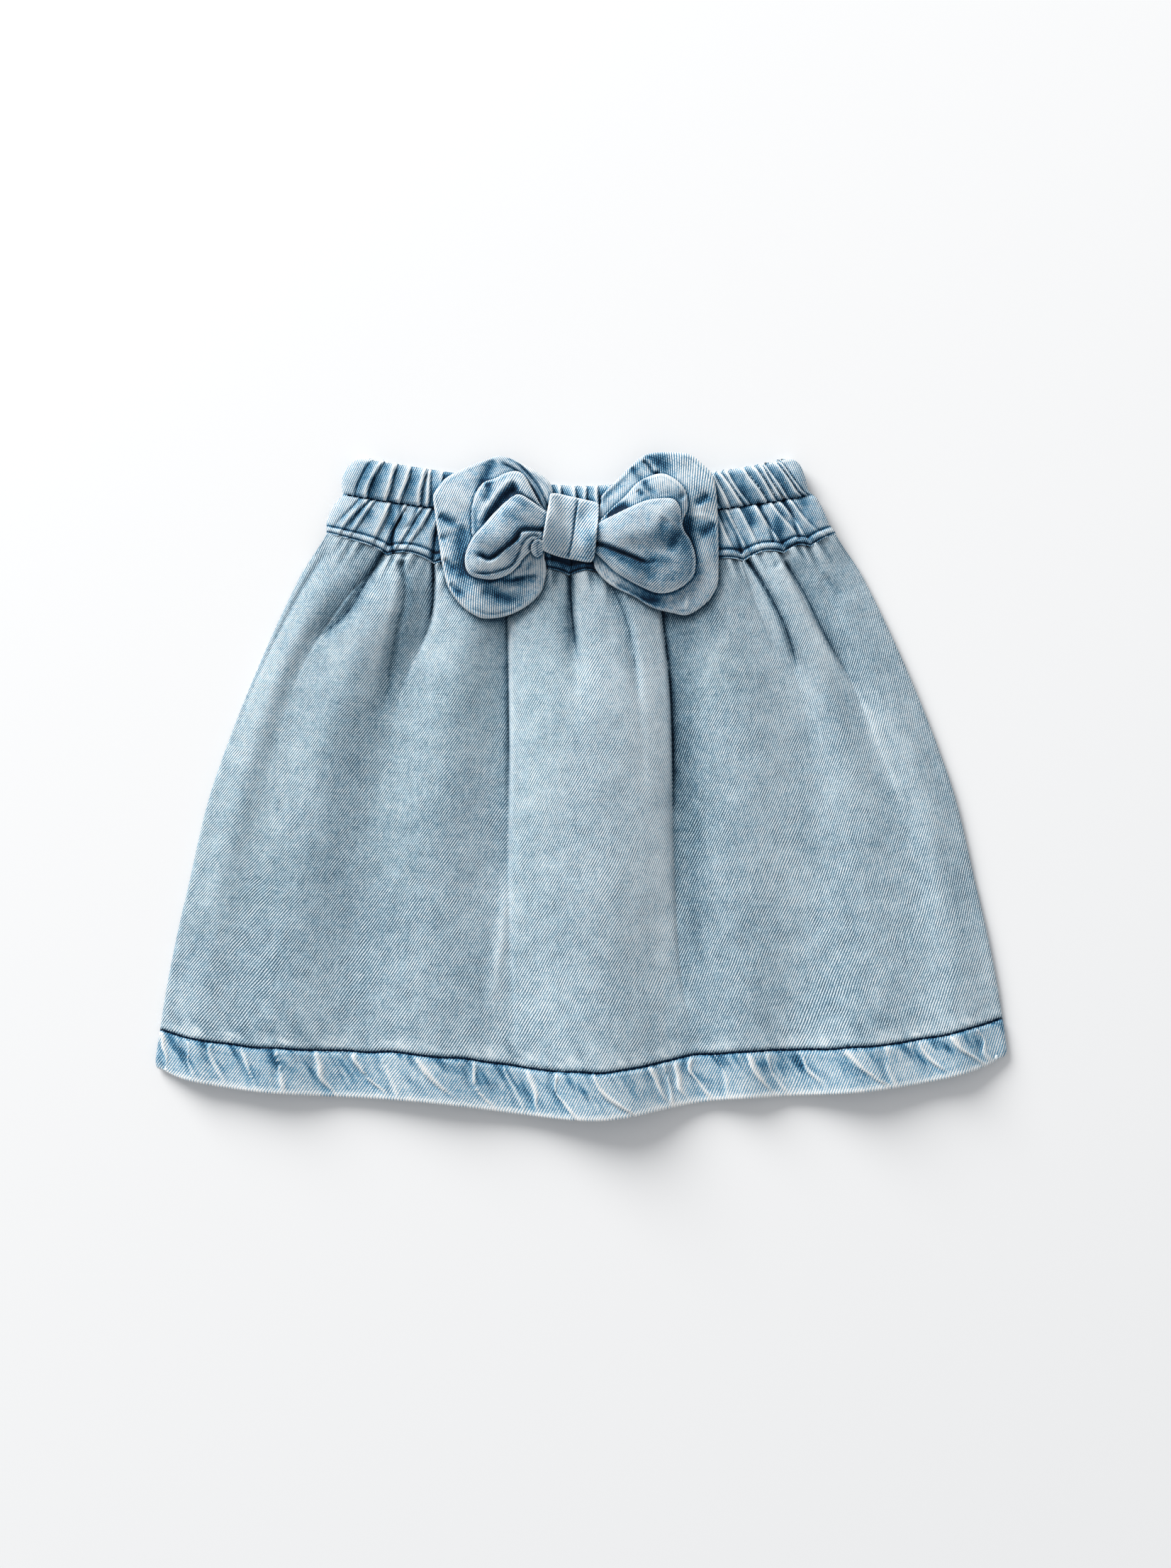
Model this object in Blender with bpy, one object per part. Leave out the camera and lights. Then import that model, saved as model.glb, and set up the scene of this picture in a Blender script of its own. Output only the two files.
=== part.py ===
"""A toddler's gathered denim skirt with a double bow, laid flat on its back.

+X is the wearer's left in the picture's right, +Y runs from hem to waist and +Z points up from the surface
that the skirt lies on. The origin is on that surface, under the middle of the skirt.
"""

import math
import random

import bmesh
import bpy
from mathutils import Vector
from mathutils.bvhtree import BVHTree

MM = 0.001

# Driving sizes of the laid skirt, in millimetres.
WAIST_HALF = 96.0
STITCH_HALF = 100.5
SEAM_HALF = 107.5
HEM_HALF = 180.5
WAIST_Y = 127.0
STITCH_Y = 114.0
SEAM_Y = 93.0
HEM_Y = -129.5
WAIST_RISE = 12.5
WAIST_RISE_POWER = 1.4
STITCH_RISE = 10.5
STITCH_RISE_POWER = 1.7
SEAM_RISE = 15.0
HEM_RISE = 16.0
HEM_RISE_POWER = 3.5
HEM_BULGE = 10.5
HEM_BULGE_X = 4.0
HEM_BULGE_LEFT = 48.0
HEM_BULGE_RIGHT = 38.0
FLARE_BOW = 48.6

# Cloth and clearances.
DENIM = 1.3
HEM_WALL = 2.2
BACK_WALL = 1.5
BACK_HEM_WALL = 1.8
SEAM_GAP = 0.3
LAYER_GAP = 0.35
BAND_WALL = 3.0
BACK_BAND_TOP = 3.6
BAND_TOP_Z = 7.4
SIDE_Z = 2.6
SIDE_ROUND = 5.0

# How far down the front each column of the fold tables stands: 0 is the seam, 1 the hem's edge.
STATIONS = (0.0, 0.1, 0.25, 0.5, 0.75, 1.0)

# The valleys between the front's pipe folds: x, the cloth's height and how crisp each of its sides is, at STATIONS.
VALLEYS = (
    {
        "name": "left_soft",
        "x": (-82.0, -101.0, -121.0, -137.0, -147.0, -155.0),
        "z": (6.6, 6.0, 5.2, 4.6, 5.0, 7.5),
        "left_crisp": (0.5, 0.4, 0.1, 0.0, 0.0, 0.0),
        "right_crisp": (0.8, 0.8, 0.2, 0.0, 0.0, 0.0),
    },
    {
        "name": "left_deep",
        "x": (-62.0, -63.0, -77.0, -88.0, -96.0, -101.0),
        "z": (5.8, 4.4, 4.2, 4.0, 4.0, 4.7),
        "left_crisp": (0.6, 0.3, 0.0, 0.0, 0.0, 0.0),
        "right_crisp": (0.9, 0.95, 0.3, 0.0, 0.0, 0.0),
    },
    {
        "name": "centre_left",
        "x": (-30.0, -30.6, -31.0, -31.0, -29.5, -26.0),
        "z": (5.8, 4.2, 3.9, 3.9, 4.4, 6.2),
        "left_crisp": (0.6, 0.3, 0.1, 0.0, 0.0, 0.0),
        "right_crisp": (0.9, 1.0, 1.0, 0.9, 0.35, 0.0),
    },
    {
        "name": "centre_right",
        "x": (31.0, 34.2, 38.0, 38.8, 42.0, 52.0),
        "z": (5.8, 4.2, 3.9, 3.9, 4.0, 4.7),
        "left_crisp": (0.9, 1.0, 1.0, 0.9, 0.3, 0.0),
        "right_crisp": (0.6, 0.3, 0.1, 0.0, 0.0, 0.0),
    },
    {
        "name": "right_short",
        "x": (68.5, 76.0, 93.0, 99.0, 94.0, 88.0),
        "z": (5.8, 4.6, 4.6, 4.2, 4.0, 4.7),
        "left_crisp": (0.9, 0.9, 0.3, 0.0, 0.0, 0.0),
        "right_crisp": (0.6, 0.4, 0.0, 0.0, 0.0, 0.0),
    },
    {
        "name": "right_long",
        "x": (85.5, 96.0, 114.5, 136.0, 145.0, 147.0),
        "z": (6.2, 5.2, 4.8, 4.6, 5.4, 7.5),
        "left_crisp": (0.8, 0.9, 0.6, 0.1, 0.0, 0.0),
        "right_crisp": (0.6, 0.6, 0.3, 0.0, 0.0, 0.0),
    },
)

# How high each pipe fold stands over its valleys, from left to right, at STATIONS.
PIPE_RISE = (
    (1.6, 3.6, 3.6, 3.2, 4.0, 4.6),
    (2.4, 6.4, 5.2, 3.0, 2.0, 2.6),
    (2.6, 6.6, 6.2, 5.0, 3.4, 2.6),
    (3.0, 8.6, 12.0, 12.0, 10.4, 8.4),
    (2.8, 6.0, 5.4, 4.0, 3.0, 3.0),
    (2.2, 5.6, 4.6, 2.6, 2.6, 4.6),
    (1.8, 3.8, 4.2, 4.4, 4.4, 4.6),
)

# Shorter creases pressed into the pipes: x, depth and half width, at STATIONS.
CREASES = (
    {
        "name": "centre_pinch",
        "x": (-5.0, -3.6, -2.0, 0.0, 0.0, 0.0),
        "depth": (2.2, 4.2, 0.8, 0.0, 0.0, 0.0),
        "half": (3.0, 4.0, 7.0, 10.0, 10.0, 10.0),
    },
    {
        "name": "centre_short",
        "x": (10.0, 17.0, 24.5, 27.0, 27.0, 27.0),
        "depth": (1.6, 1.8, 1.2, 0.0, 0.0, 0.0),
        "half": (3.0, 4.0, 5.0, 8.0, 8.0, 8.0),
    },
    {
        "name": "right_edge",
        "x": (97.0, 106.0, 122.0, 140.0, 150.0, 160.0),
        "depth": (1.2, 1.6, 0.0, 0.0, 0.0, 0.0),
        "half": (3.0, 4.0, 6.0, 8.0, 8.0, 8.0),
    },
)

PIPE_COLUMNS = (7, 6, 7, 15, 8, 5, 8)
FRONT_ROWS = (0.0, 0.02, 0.05, 0.09, 0.13, 0.18, 0.24, 0.31, 0.39, 0.47, 0.56, 0.65, 0.74, 0.82, 0.88, 0.92, 0.955, 1.0)
BACK_COLUMNS = 30
BACK_ROWS = (0.0, 0.06, 0.15, 0.3, 0.45, 0.6, 0.75, 0.85, 0.92, 1.0)

# Waistband gathers: the front's stand at these x, read along the casing's stitches, and the back's by chance.
FRONT_GATHERS = (
    -94.4, -89.9, -81.7, -75.7, -68.6, -64.3, -60.0, -54.0, -47.0, -40.2, -35.0, -29.8, -22.0, -15.6, -8.6, -3.0,
    1.8, 6.4, 12.6, 17.4, 24.0, 28.6, 35.6, 41.0, 50.4, 56.5, 60.7, 65.6, 69.4, 76.1, 80.0, 83.8, 87.6, 92.2, 95.8,
)
BACK_GATHERS = 32
GATHER_RISE = 1.9
CREST_Z = BAND_TOP_Z + GATHER_RISE
GATHER_JITTER = 0.26
BAND_ROWS = (0.0, 0.1, 0.3, 0.47, 0.53, 0.72, 0.92, 1.0)
STITCH_AT = 0.5
STITCH_GROOVE = 1.3
PINCH_REACH = 6.0
PINCH_DROP = 2.2

# Bow. Angles are in degrees above the lobe's own axis, which points away from the knot.
KNOT_X = -4.5
KNOT_Y = 110.5
KNOT_HALF_WIDTH = 10.2
KNOT_HALF_HEIGHT = 12.8
KNOT_LEAN = 0.16
KNOT_DROP = -0.17
KNOT_WALL = 4.2
LOBES = (
    {
        "name": "bow_outer_left",
        "side": -1,
        "puff": 3.4,
        "rim": 2.6,
        "outline": (
            (-68, 17), (-62, 39), (-50, 51), (-38, 57), (-23, 57), (-2, 56),
            (13, 59), (25, 55), (42, 44), (55, 33), (69, 20),
        ),
        "creases": ((-20, 1.4, 9), (24, 1.8, 8)),
    },
    {
        "name": "bow_outer_right",
        "side": 1,
        "puff": 3.4,
        "rim": 2.6,
        "outline": (
            (-62, 20), (-52, 38), (-44, 53), (-34, 65), (-25, 67), (-9, 63),
            (4, 63), (20, 64), (32, 58), (39, 50), (47, 38),
        ),
        "creases": ((-27, 1.4, 8), (30, 1.8, 8)),
    },
    {
        "name": "bow_inner_left",
        "side": -1,
        "puff": 5.0,
        "rim": 2.6,
        "outline": (
            (-41, 27), (-37, 37), (-27, 46), (-20, 47), (-5, 42), (4, 42),
            (18, 43), (28, 41), (42, 35), (48, 30),
        ),
        "creases": ((-24, 2.4, 6), (14, 3.2, 6)),
    },
    {
        "name": "bow_inner_right",
        "side": 1,
        "puff": 5.0,
        "rim": 2.6,
        "outline": (
            (-45, 27), (-41, 43), (-31, 52), (-20, 56), (-8, 50), (2, 47),
            (12, 50), (19, 50), (28, 46), (34, 35),
        ),
        "creases": ((-25, 2.4, 6), (15, 2.8, 6)),
    },
)
LOBE_COLUMNS = 16
LOBE_SHARES = (0.0, 0.12, 0.27, 0.45, 0.63, 0.79, 0.92, 1.0)
LOBE_ROOT = 0.12
LOBE_ROOT_SPREAD = 0.6
LOBE_LIE_GAP = 0.7
KNOT_COLUMNS = 8
KNOT_ROWS = 6


def clear_scene():
    for thing in list(bpy.data.objects):
        bpy.data.objects.remove(thing, do_unlink=True)


def denim_material(name, colour, roughness):
    material = bpy.data.materials.new(name)
    material.use_nodes = True
    shader = material.node_tree.nodes["Principled BSDF"]
    shader.inputs["Base Color"].default_value = (*colour, 1.0)
    shader.inputs["Roughness"].default_value = roughness
    shader.inputs["Metallic"].default_value = 0.0
    return material


def along(values, v, stations=STATIONS):
    """A smooth curve through values at their stations, read at v."""
    last = len(stations) - 1
    i = 0
    while i < last - 1 and v > stations[i + 1]:
        i += 1
    span = stations[i + 1] - stations[i]
    t = (v - stations[i]) / span

    def slope(k):
        a, b = max(k - 1, 0), min(k + 1, last)
        return (values[b] - values[a]) / (stations[b] - stations[a])

    start, end = slope(i) * span, slope(i + 1) * span
    return (
        (2 * t**3 - 3 * t**2 + 1) * values[i]
        + (t**3 - 2 * t**2 + t) * start
        + (3 * t**2 - 2 * t**3) * values[i + 1]
        + (t**3 - t**2) * end
    )


def smooth(t):
    t = min(max(t, 0.0), 1.0)
    return t * t * (3 - 2 * t)


def half_width(v):
    """Half the laid skirt's width: its sides bow outwards on the way to the hem."""
    straight = HEM_HALF - SEAM_HALF + FLARE_BOW
    return SEAM_HALF + straight * v - FLARE_BOW * v * v


def pinch(x):
    """How strongly the seam is drawn in at x, from the fold lines that start there."""
    lines = [valley["x"][0] for valley in VALLEYS] + [crease["x"][0] for crease in CREASES]
    return max(math.exp(-abs(x - line) / PINCH_REACH) for line in lines)


def seam_y(u):
    return SEAM_Y + SEAM_RISE * u * u - PINCH_DROP * pinch(u * SEAM_HALF)


def hem_y(u):
    x = u * HEM_HALF - HEM_BULGE_X
    spread = HEM_BULGE_LEFT if x < 0 else HEM_BULGE_RIGHT
    bulge = HEM_BULGE * math.exp(-((x / spread) ** 2))
    return HEM_Y + HEM_RISE * abs(u) ** HEM_RISE_POWER - bulge


def pipe_of(x, v):
    """The pipe fold that x lies in, as its number, its two edges and how far across it x is."""
    edges = [-half_width(v)] + [along(valley["x"], v) for valley in VALLEYS] + [half_width(v)]
    number = 0
    while number < len(VALLEYS) and x > edges[number + 1]:
        number += 1
    left, right = edges[number], edges[number + 1]
    return number, left, right, min(max((x - left) / (right - left), 0.0), 1.0)


def valley_facts(number, v, side):
    """The height and crispness of a valley, seen from its side; the outermost ones are the side seams."""
    if number < 0 or number >= len(VALLEYS):
        return SIDE_Z + (BAND_TOP_Z - SIDE_Z - 2.0) * smooth(1 - v / 0.06), 0.55
    valley = VALLEYS[number]
    return along(valley["z"], v), min(max(along(valley[side], v), 0.0), 1.0)


def front_z(x, v):
    """Height of the front's outer face."""
    number, left, right, s = pipe_of(x, v)
    left_z, left_crisp = valley_facts(number - 1, v, "right_crisp")
    right_z, right_crisp = valley_facts(number, v, "left_crisp")
    blend = smooth(s)
    crisp = left_crisp + (right_crisp - left_crisp) * blend
    wave = math.sin(math.pi * s)
    soft, steep = wave * wave, wave**0.55 if wave > 0 else 0.0
    rise = along(PIPE_RISE[number], v)
    z = left_z + (right_z - left_z) * blend + rise * (soft + (steep - soft) * crisp)
    for crease in CREASES:
        depth = max(along(crease["depth"], v), 0.0)
        reach = max(along(crease["half"], v), 1.0)
        z -= depth * math.exp(-abs(x - along(crease["x"], v)) / reach)
    return z


def front_point(x, v):
    u = x / half_width(v)
    y = seam_y(u) + (hem_y(u) - seam_y(u)) * v
    return Vector((x, y, front_z(x, v)))


def front_columns(v):
    """The x of each column of the front, closer together beside the valleys."""
    edges = [-half_width(v)] + [along(valley["x"], v) for valley in VALLEYS] + [half_width(v)]
    columns = [edges[0]]
    for left, right, count in zip(edges, edges[1:], PIPE_COLUMNS):
        for k in range(1, count + 1):
            even = k / count
            eased = (1 - math.cos(math.pi * even)) / 2
            columns.append(left + (right - left) * (even + eased) / 2)
    return columns


def seam_line(x):
    """The front's top edge at x, straight between its columns, so that the band can lie along it."""
    columns = front_columns(0.0)
    x = min(max(x, columns[0]), columns[-1])
    k = 0
    while k < len(columns) - 2 and x > columns[k + 1]:
        k += 1
    share = (x - columns[k]) / (columns[k + 1] - columns[k])
    left, right = seam_y(columns[k] / SEAM_HALF), seam_y(columns[k + 1] / SEAM_HALF)
    return left + (right - left) * share


def slab(name, columns, rows, top, under, material):
    """A closed body between two skins, each a grid whose corners the functions top and under place."""
    mesh = bmesh.new()
    skins = []
    for place in (top, under):
        made = bmesh.ops.create_grid(mesh, x_segments=columns, y_segments=rows, size=1.0)
        for vert in made["verts"]:
            column = round((vert.co.x + 1) / 2 * columns)
            row = round((1 - vert.co.y) / 2 * rows)
            vert.co = place(column, row) * MM
        skins.append(made["verts"])
    bmesh.ops.reverse_faces(mesh, faces=list({f for vert in skins[1] for f in vert.link_faces}))
    rims = [edge for edge in mesh.edges if edge.is_boundary]
    bmesh.ops.bridge_loops(mesh, edges=rims)
    bmesh.ops.recalc_face_normals(mesh, faces=mesh.faces)
    data = bpy.data.meshes.new(name)
    mesh.to_mesh(data)
    mesh.free()
    data.materials.append(material)
    data.shade_smooth()
    data.set_sharp_from_angle(angle=math.radians(50))
    made = bpy.data.objects.new(name, data)
    bpy.context.scene.collection.objects.link(made)
    return made


def skin_normals(points):
    """The upward normal at each point of a grid, from its neighbours."""
    rows, columns = len(points), len(points[0])
    normals = []
    for r in range(rows):
        line = []
        for c in range(columns):
            across = points[r][min(c + 1, columns - 1)] - points[r][max(c - 1, 0)]
            down = points[min(r + 1, rows - 1)][c] - points[max(r - 1, 0)][c]
            line.append(down.cross(across).normalized())
        normals.append(line)
    return normals


def front_panel(material):
    """The gathered front, with its turned-up hem, as one wall."""
    points = []
    for v in FRONT_ROWS:
        line = [front_point(x, v) for x in front_columns(v)]
        points.append(line)
    normals = skin_normals(points)
    columns = len(points[0]) - 1

    def top(column, row):
        return points[row][column]

    def under(column, row):
        v = FRONT_ROWS[row]
        hem_share = smooth((v - 0.9) / 0.03)
        wall = DENIM + (HEM_WALL - DENIM) * hem_share
        point = points[row][column] - normals[row][column] * wall
        floor = (BACK_HEM_WALL if hem_share > 0 else BACK_WALL) + LAYER_GAP
        point.z = max(point.z, floor)
        if row in (0, len(FRONT_ROWS) - 1):
            point.y = points[row][column].y
        return point

    return slab("front_panel", columns, len(FRONT_ROWS) - 1, top, under, material)


def back_panel(material):
    """The back, flat on the surface. Its hem stays just inside the front's."""
    inset = 0.5
    hem_short = 3.0

    def place(column, row):
        v = BACK_ROWS[row]
        u = 2 * column / BACK_COLUMNS - 1
        x = u * (half_width(v) - inset)
        low_hem = HEM_Y + HEM_RISE * abs(u) ** HEM_RISE_POWER + hem_short
        high = SEAM_Y + SEAM_RISE * u * u - PINCH_DROP - 0.3
        return x, high + (low_hem - high) * v, v

    def top(column, row):
        x, y, v = place(column, row)
        hem_share = smooth((v - 0.9) / 0.03)
        return Vector((x, y, BACK_WALL + (BACK_HEM_WALL - BACK_WALL) * hem_share))

    def under(column, row):
        x, y, _ = place(column, row)
        return Vector((x, y, 0.0))

    return slab("back_panel", BACK_COLUMNS, len(BACK_ROWS) - 1, top, under, material)


def chance_lines(count, seed):
    """Where unevenly spaced gathers stand across the band, from -1 to 1."""
    chance = random.Random(seed)
    step = 2.0 / count
    return [-1 + step * (k + 0.5 + chance.uniform(-GATHER_JITTER, GATHER_JITTER)) for k in range(count)]


def band_columns(lines):
    """Four columns to a gather: its crest, its foot on each side, and the middle of the flat beside it."""
    edges = [-1.0] + [(a + b) / 2 for a, b in zip(lines, lines[1:])] + [1.0]
    columns = [(-1.0, 0.0)]
    for k, line in enumerate(lines):
        foot = 0.3 * min(line - edges[k], edges[k + 1] - line)
        columns += [(line - 1.2 * foot, 0.12), (line, 1.0), (line + foot, 0.15), (edges[k + 1], 0.0)]
    return columns


def band_point(u, w, lift):
    """A point of the band's outer face: w is 0 at the waist's top edge and 1 at the seam."""
    stitch = Vector((u * STITCH_HALF, STITCH_Y + STITCH_RISE * abs(u) ** STITCH_RISE_POWER, lift))
    if w < STITCH_AT:
        edge = Vector((u * WAIST_HALF, WAIST_Y + WAIST_RISE * abs(u) ** WAIST_RISE_POWER, lift))
        return edge.lerp(stitch, w / STITCH_AT)
    seam = Vector((u * SEAM_HALF, seam_line(u * SEAM_HALF) + SEAM_GAP, lift))
    return stitch.lerp(seam, (w - STITCH_AT) / (1 - STITCH_AT))


def side_fall(u):
    """0 across the band and 1 at its two folded ends, where it turns down to meet the back."""
    away = (1 - abs(u)) * WAIST_HALF / SIDE_ROUND
    return 0.0 if away >= 1 else 1 - math.sqrt(max(0.0, 1 - (1 - away) ** 2))


def waistband_front(material):
    columns = band_columns([x / STITCH_HALF for x in FRONT_GATHERS])
    lowest = BACK_BAND_TOP + LAYER_GAP

    def top(column, row):
        u, crest = columns[column]
        w = BAND_ROWS[row]
        edge = 1.2 if row == 0 else 0.0
        groove = STITCH_GROOVE if abs(w - STITCH_AT) < 0.05 else 0.0
        to_seam = smooth((w - 0.6) / 0.4)
        z = BAND_TOP_Z + GATHER_RISE * crest * (1 - 0.75 * to_seam) - groove - edge
        seam_z = front_z(u * SEAM_HALF, 0.0)
        z += (seam_z - BAND_TOP_Z) * to_seam
        z -= (z - lowest - 0.8) * side_fall(u)
        return band_point(u, w, z)

    def under(column, row):
        point = top(column, row)
        u, crest = columns[column]
        folded = side_fall(u)
        inner = max(point.z - BAND_WALL - 0.5 * crest, lowest)
        point.z = inner + (lowest - inner) * folded
        point.x -= math.copysign(0.4 * folded, u)
        return point

    return slab("waistband_front", len(columns) - 1, len(BAND_ROWS) - 1, top, under, material)


def waistband_back(material):
    columns = band_columns(chance_lines(BACK_GATHERS, 11))
    rows = (0.0, 0.12, 0.5, 0.9, 1.0)

    def top(column, row):
        u, _ = columns[column]
        w = rows[row]
        return band_point(u, w, BACK_BAND_TOP - (0.8 if row == 0 else 0.0))

    def under(column, row):
        u, crest = columns[column]
        w = rows[row]
        point = top(column, row)
        at_rest = crest > 0.5 or row == len(rows) - 1
        point.z = 0.0 if at_rest else 0.5
        return point

    return slab("waistband_back", len(columns) - 1, len(rows) - 1, top, under, material)


class Support:
    """What a piece of the bow lies on: the top of the pieces under it, felt from straight above."""

    reach = 2.4
    sky = 0.2

    def __init__(self, pieces, level):
        self.level = level * MM
        self.trees = []
        for piece in pieces:
            data = piece.data
            corners = [vert.co.copy() for vert in data.vertices]
            faces = [tuple(polygon.vertices) for polygon in data.polygons]
            self.trees.append(BVHTree.FromPolygons(corners, faces))

    def height(self, x, y):
        """The highest point near x, y, in millimetres, and never under the support's own level."""
        highest = self.level
        steps = (0.0, -self.reach, self.reach)
        for dx in steps:
            for dy in steps:
                above = Vector(((x + dx) * MM, (y + dy) * MM, self.sky))
                for tree in self.trees:
                    hit = tree.ray_cast(above, Vector((0, 0, -1)))[0]
                    if hit:
                        highest = max(highest, hit.z)
        return highest / MM


def knot_point(a, s):
    """A point of the leaning knot: a runs from -1 to 1 across it, and s from its foot to its top."""
    x = a * KNOT_HALF_WIDTH + KNOT_LEAN * s * KNOT_HALF_HEIGHT
    y = s * KNOT_HALF_HEIGHT + KNOT_DROP * a * KNOT_HALF_WIDTH
    return KNOT_X + x, KNOT_Y + y


def bow_lobe(facts, support, material):
    """One lobe of the bow: a sewn bag of two layers that the knot draws in at its root."""
    outline = facts["outline"]
    angles = [row[0] for row in outline]
    reaches = [row[1] for row in outline]

    def plan(column, row):
        t = column / LOBE_COLUMNS
        share = LOBE_SHARES[row]
        angle = math.radians(angles[0] + (angles[-1] - angles[0]) * t)
        reach = along(reaches, math.degrees(angle), angles)
        rim_x = KNOT_X + facts["side"] * reach * math.cos(angle)
        rim_y = KNOT_Y + reach * math.sin(angle)
        root_x, root_y = knot_point(facts["side"] * LOBE_ROOT, (2 * t - 1) * LOBE_ROOT_SPREAD)
        return root_x + (rim_x - root_x) * share, root_y + (rim_y - root_y) * share, t, share, math.degrees(angle)

    def puff(t, share, angle):
        to_rim = math.sqrt(max(0.0, 1 - share**2.6))
        to_sides = math.sqrt(max(0.0, 1 - abs(2 * t - 1) ** 3.2))
        rise = facts["puff"] * to_rim * (0.15 + 0.85 * to_sides) * smooth(share / 0.45) * (1.2 - 0.2 * share)
        for crease_angle, depth, spread in facts["creases"]:
            fade = 1 - smooth((share - 0.35) / 0.45)
            rise -= depth * fade * to_rim * math.exp(-(((angle - crease_angle) / spread) ** 2))
        return max(rise, 0.0)

    def under(column, row):
        x, y, _, _, _ = plan(column, row)
        return Vector((x, y, support.height(x, y) + LOBE_LIE_GAP))

    def top(column, row):
        x, y, t, share, angle = plan(column, row)
        return Vector((x, y, support.height(x, y) + LOBE_LIE_GAP + facts["rim"] + puff(t, share, angle)))

    return slab(facts["name"], LOBE_COLUMNS, len(LOBE_SHARES) - 1, top, under, material)


def bow_knot(support, material):
    """The strip round the bow's middle, drawn as a rounded block that leans with the bow."""
    def plan(column, row):
        across = 2 * column / KNOT_COLUMNS - 1
        s = 1 - 2 * row / KNOT_ROWS
        return *knot_point(across, s), across, s

    def under(column, row):
        x, y, _, _ = plan(column, row)
        return Vector((x, y, support.height(x, y) + LOBE_LIE_GAP))

    def top(column, row):
        x, y, across, s = plan(column, row)
        round_off = math.sqrt(max(0.0, 1 - across**4)) * math.sqrt(max(0.0, 1 - s**6))
        return Vector((x, y, support.height(x, y) + LOBE_LIE_GAP + KNOT_WALL * (0.4 + 0.6 * round_off)))

    return slab("bow_knot", KNOT_COLUMNS, KNOT_ROWS, top, under, material)


def main():
    clear_scene()
    denim = denim_material("washed_denim", (0.42, 0.55, 0.63), 0.9)
    band_denim = denim_material("band_denim", (0.30, 0.45, 0.58), 0.9)
    bow_denim = denim_material("bow_denim", (0.38, 0.53, 0.64), 0.9)
    front = front_panel(denim)
    back_panel(denim)
    band = waistband_front(band_denim)
    waistband_back(band_denim)
    ground = Support((front, band), CREST_Z)
    outer = [bow_lobe(facts, ground, bow_denim) for facts in LOBES[:2]]
    middle = Support((front, band, *outer), CREST_Z)
    inner = [bow_lobe(facts, middle, bow_denim) for facts in LOBES[2:]]
    bow_knot(Support((front, band, *outer, *inner), CREST_Z), bow_denim)


main()
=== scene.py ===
"""A toddler's gathered denim skirt with a double bow, laid flat on its back: its finished cloth and thread.

Lengths are millimetres up to the meshes. +X is the picture's right, +Y runs from hem to waist, +Z points up.
"""
import math
import random
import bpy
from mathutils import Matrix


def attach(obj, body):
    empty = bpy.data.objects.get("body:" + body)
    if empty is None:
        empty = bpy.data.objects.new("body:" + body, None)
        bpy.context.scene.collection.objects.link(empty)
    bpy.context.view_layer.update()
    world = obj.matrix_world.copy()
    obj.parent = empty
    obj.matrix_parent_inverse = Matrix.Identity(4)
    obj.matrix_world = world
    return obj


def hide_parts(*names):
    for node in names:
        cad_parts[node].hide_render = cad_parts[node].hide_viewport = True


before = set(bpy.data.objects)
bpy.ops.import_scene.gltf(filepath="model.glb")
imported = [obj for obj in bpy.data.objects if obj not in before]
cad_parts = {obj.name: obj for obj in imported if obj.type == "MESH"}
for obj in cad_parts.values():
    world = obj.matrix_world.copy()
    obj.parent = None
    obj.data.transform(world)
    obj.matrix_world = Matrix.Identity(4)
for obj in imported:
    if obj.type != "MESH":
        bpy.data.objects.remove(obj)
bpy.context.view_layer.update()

from types import SimpleNamespace

import bmesh
import bpy
import numpy as np
from mathutils import Matrix, Vector
from mathutils.bvhtree import BVHTree

MM = 0.001
ROOT = "root"

# The laid skirt, as the frame's solids have it.
WAIST_HALF = 96.0
STITCH_HALF = 100.5
SEAM_HALF = 107.5
HEM_HALF = 180.5
WAIST_Y = 127.0
STITCH_Y = 114.0
SEAM_Y = 93.0
HEM_Y = -129.5
WAIST_RISE, WAIST_RISE_POWER = 12.5, 1.4
STITCH_RISE, STITCH_RISE_POWER = 10.5, 1.7
SEAM_RISE = 15.0
HEM_RISE_LEFT, HEM_RISE_LEFT_POWER = 11.0, 5.0
HEM_RISE_RIGHT, HEM_RISE_RIGHT_POWER = 16.0, 4.2
HEM_BULGE = 9.2
HEM_BULGE_X = 4.0
HEM_BULGE_LEFT, HEM_BULGE_RIGHT = 56.0, 38.0
FLARE_BOW = 48.6
SIDE_PUFF, PUFF_ONSET, PUFF_END, PUFF_FADE = 2.2, 0.08, 0.68, 0.22
BAND_REST_Z = 6.8
SIDE_Z, SIDE_TOP_Z, SIDE_SINK, SIDE_CRISP = 2.9, 5.4, 0.06, 0.55
PINCH_REACH = 5.0
PINCH_DROP = 3.2

# How far down the front the tables of folds are given: 0 is the seam and 1 the hem's edge.
STATIONS = (0.0, 0.1, 0.25, 0.5, 0.75, 1.0)

# Cloth.
DENIM = 0.75
HEM_DEPTH, HEM_MIDDLE_EXTRA, HEM_SIDE_LOSS = 18.0, 1.5, 3.0
HEM_WOBBLE = 0.45
HEM_AT = 0.9175
HEM_FOLD, BACK_FOLD, BAND_FOLD = 0.82, 0.8, 1.25
HEM_CORNER, HEM_CORNER_AT, HEM_CORNER_POWER = 2.6, 0.28, 40
HEM_PROUD = 0.55
HEM_GROOVE = 0.7
HEM_LINE_DARKNESS = 1.5
SIDE_ROLL = 1.15
ROLL_ANGLES = (30, 62, 95, 130)
FOLD_ANGLES = (50, 15, -20, -55, -90)
INNER_FLOOR = 2.0
FAR_FROM_SEAM = 200.0
BACK_SHORTER, BACK_NARROWER = 3.2, 1.6
BANK_REACH = 4.0
USUAL_FADE = (0.12, 0.35)
DRIFT_WAVES = 9
DRIFT_GAIN = 1.8
GOLDEN_SHARE = 0.618


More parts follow.
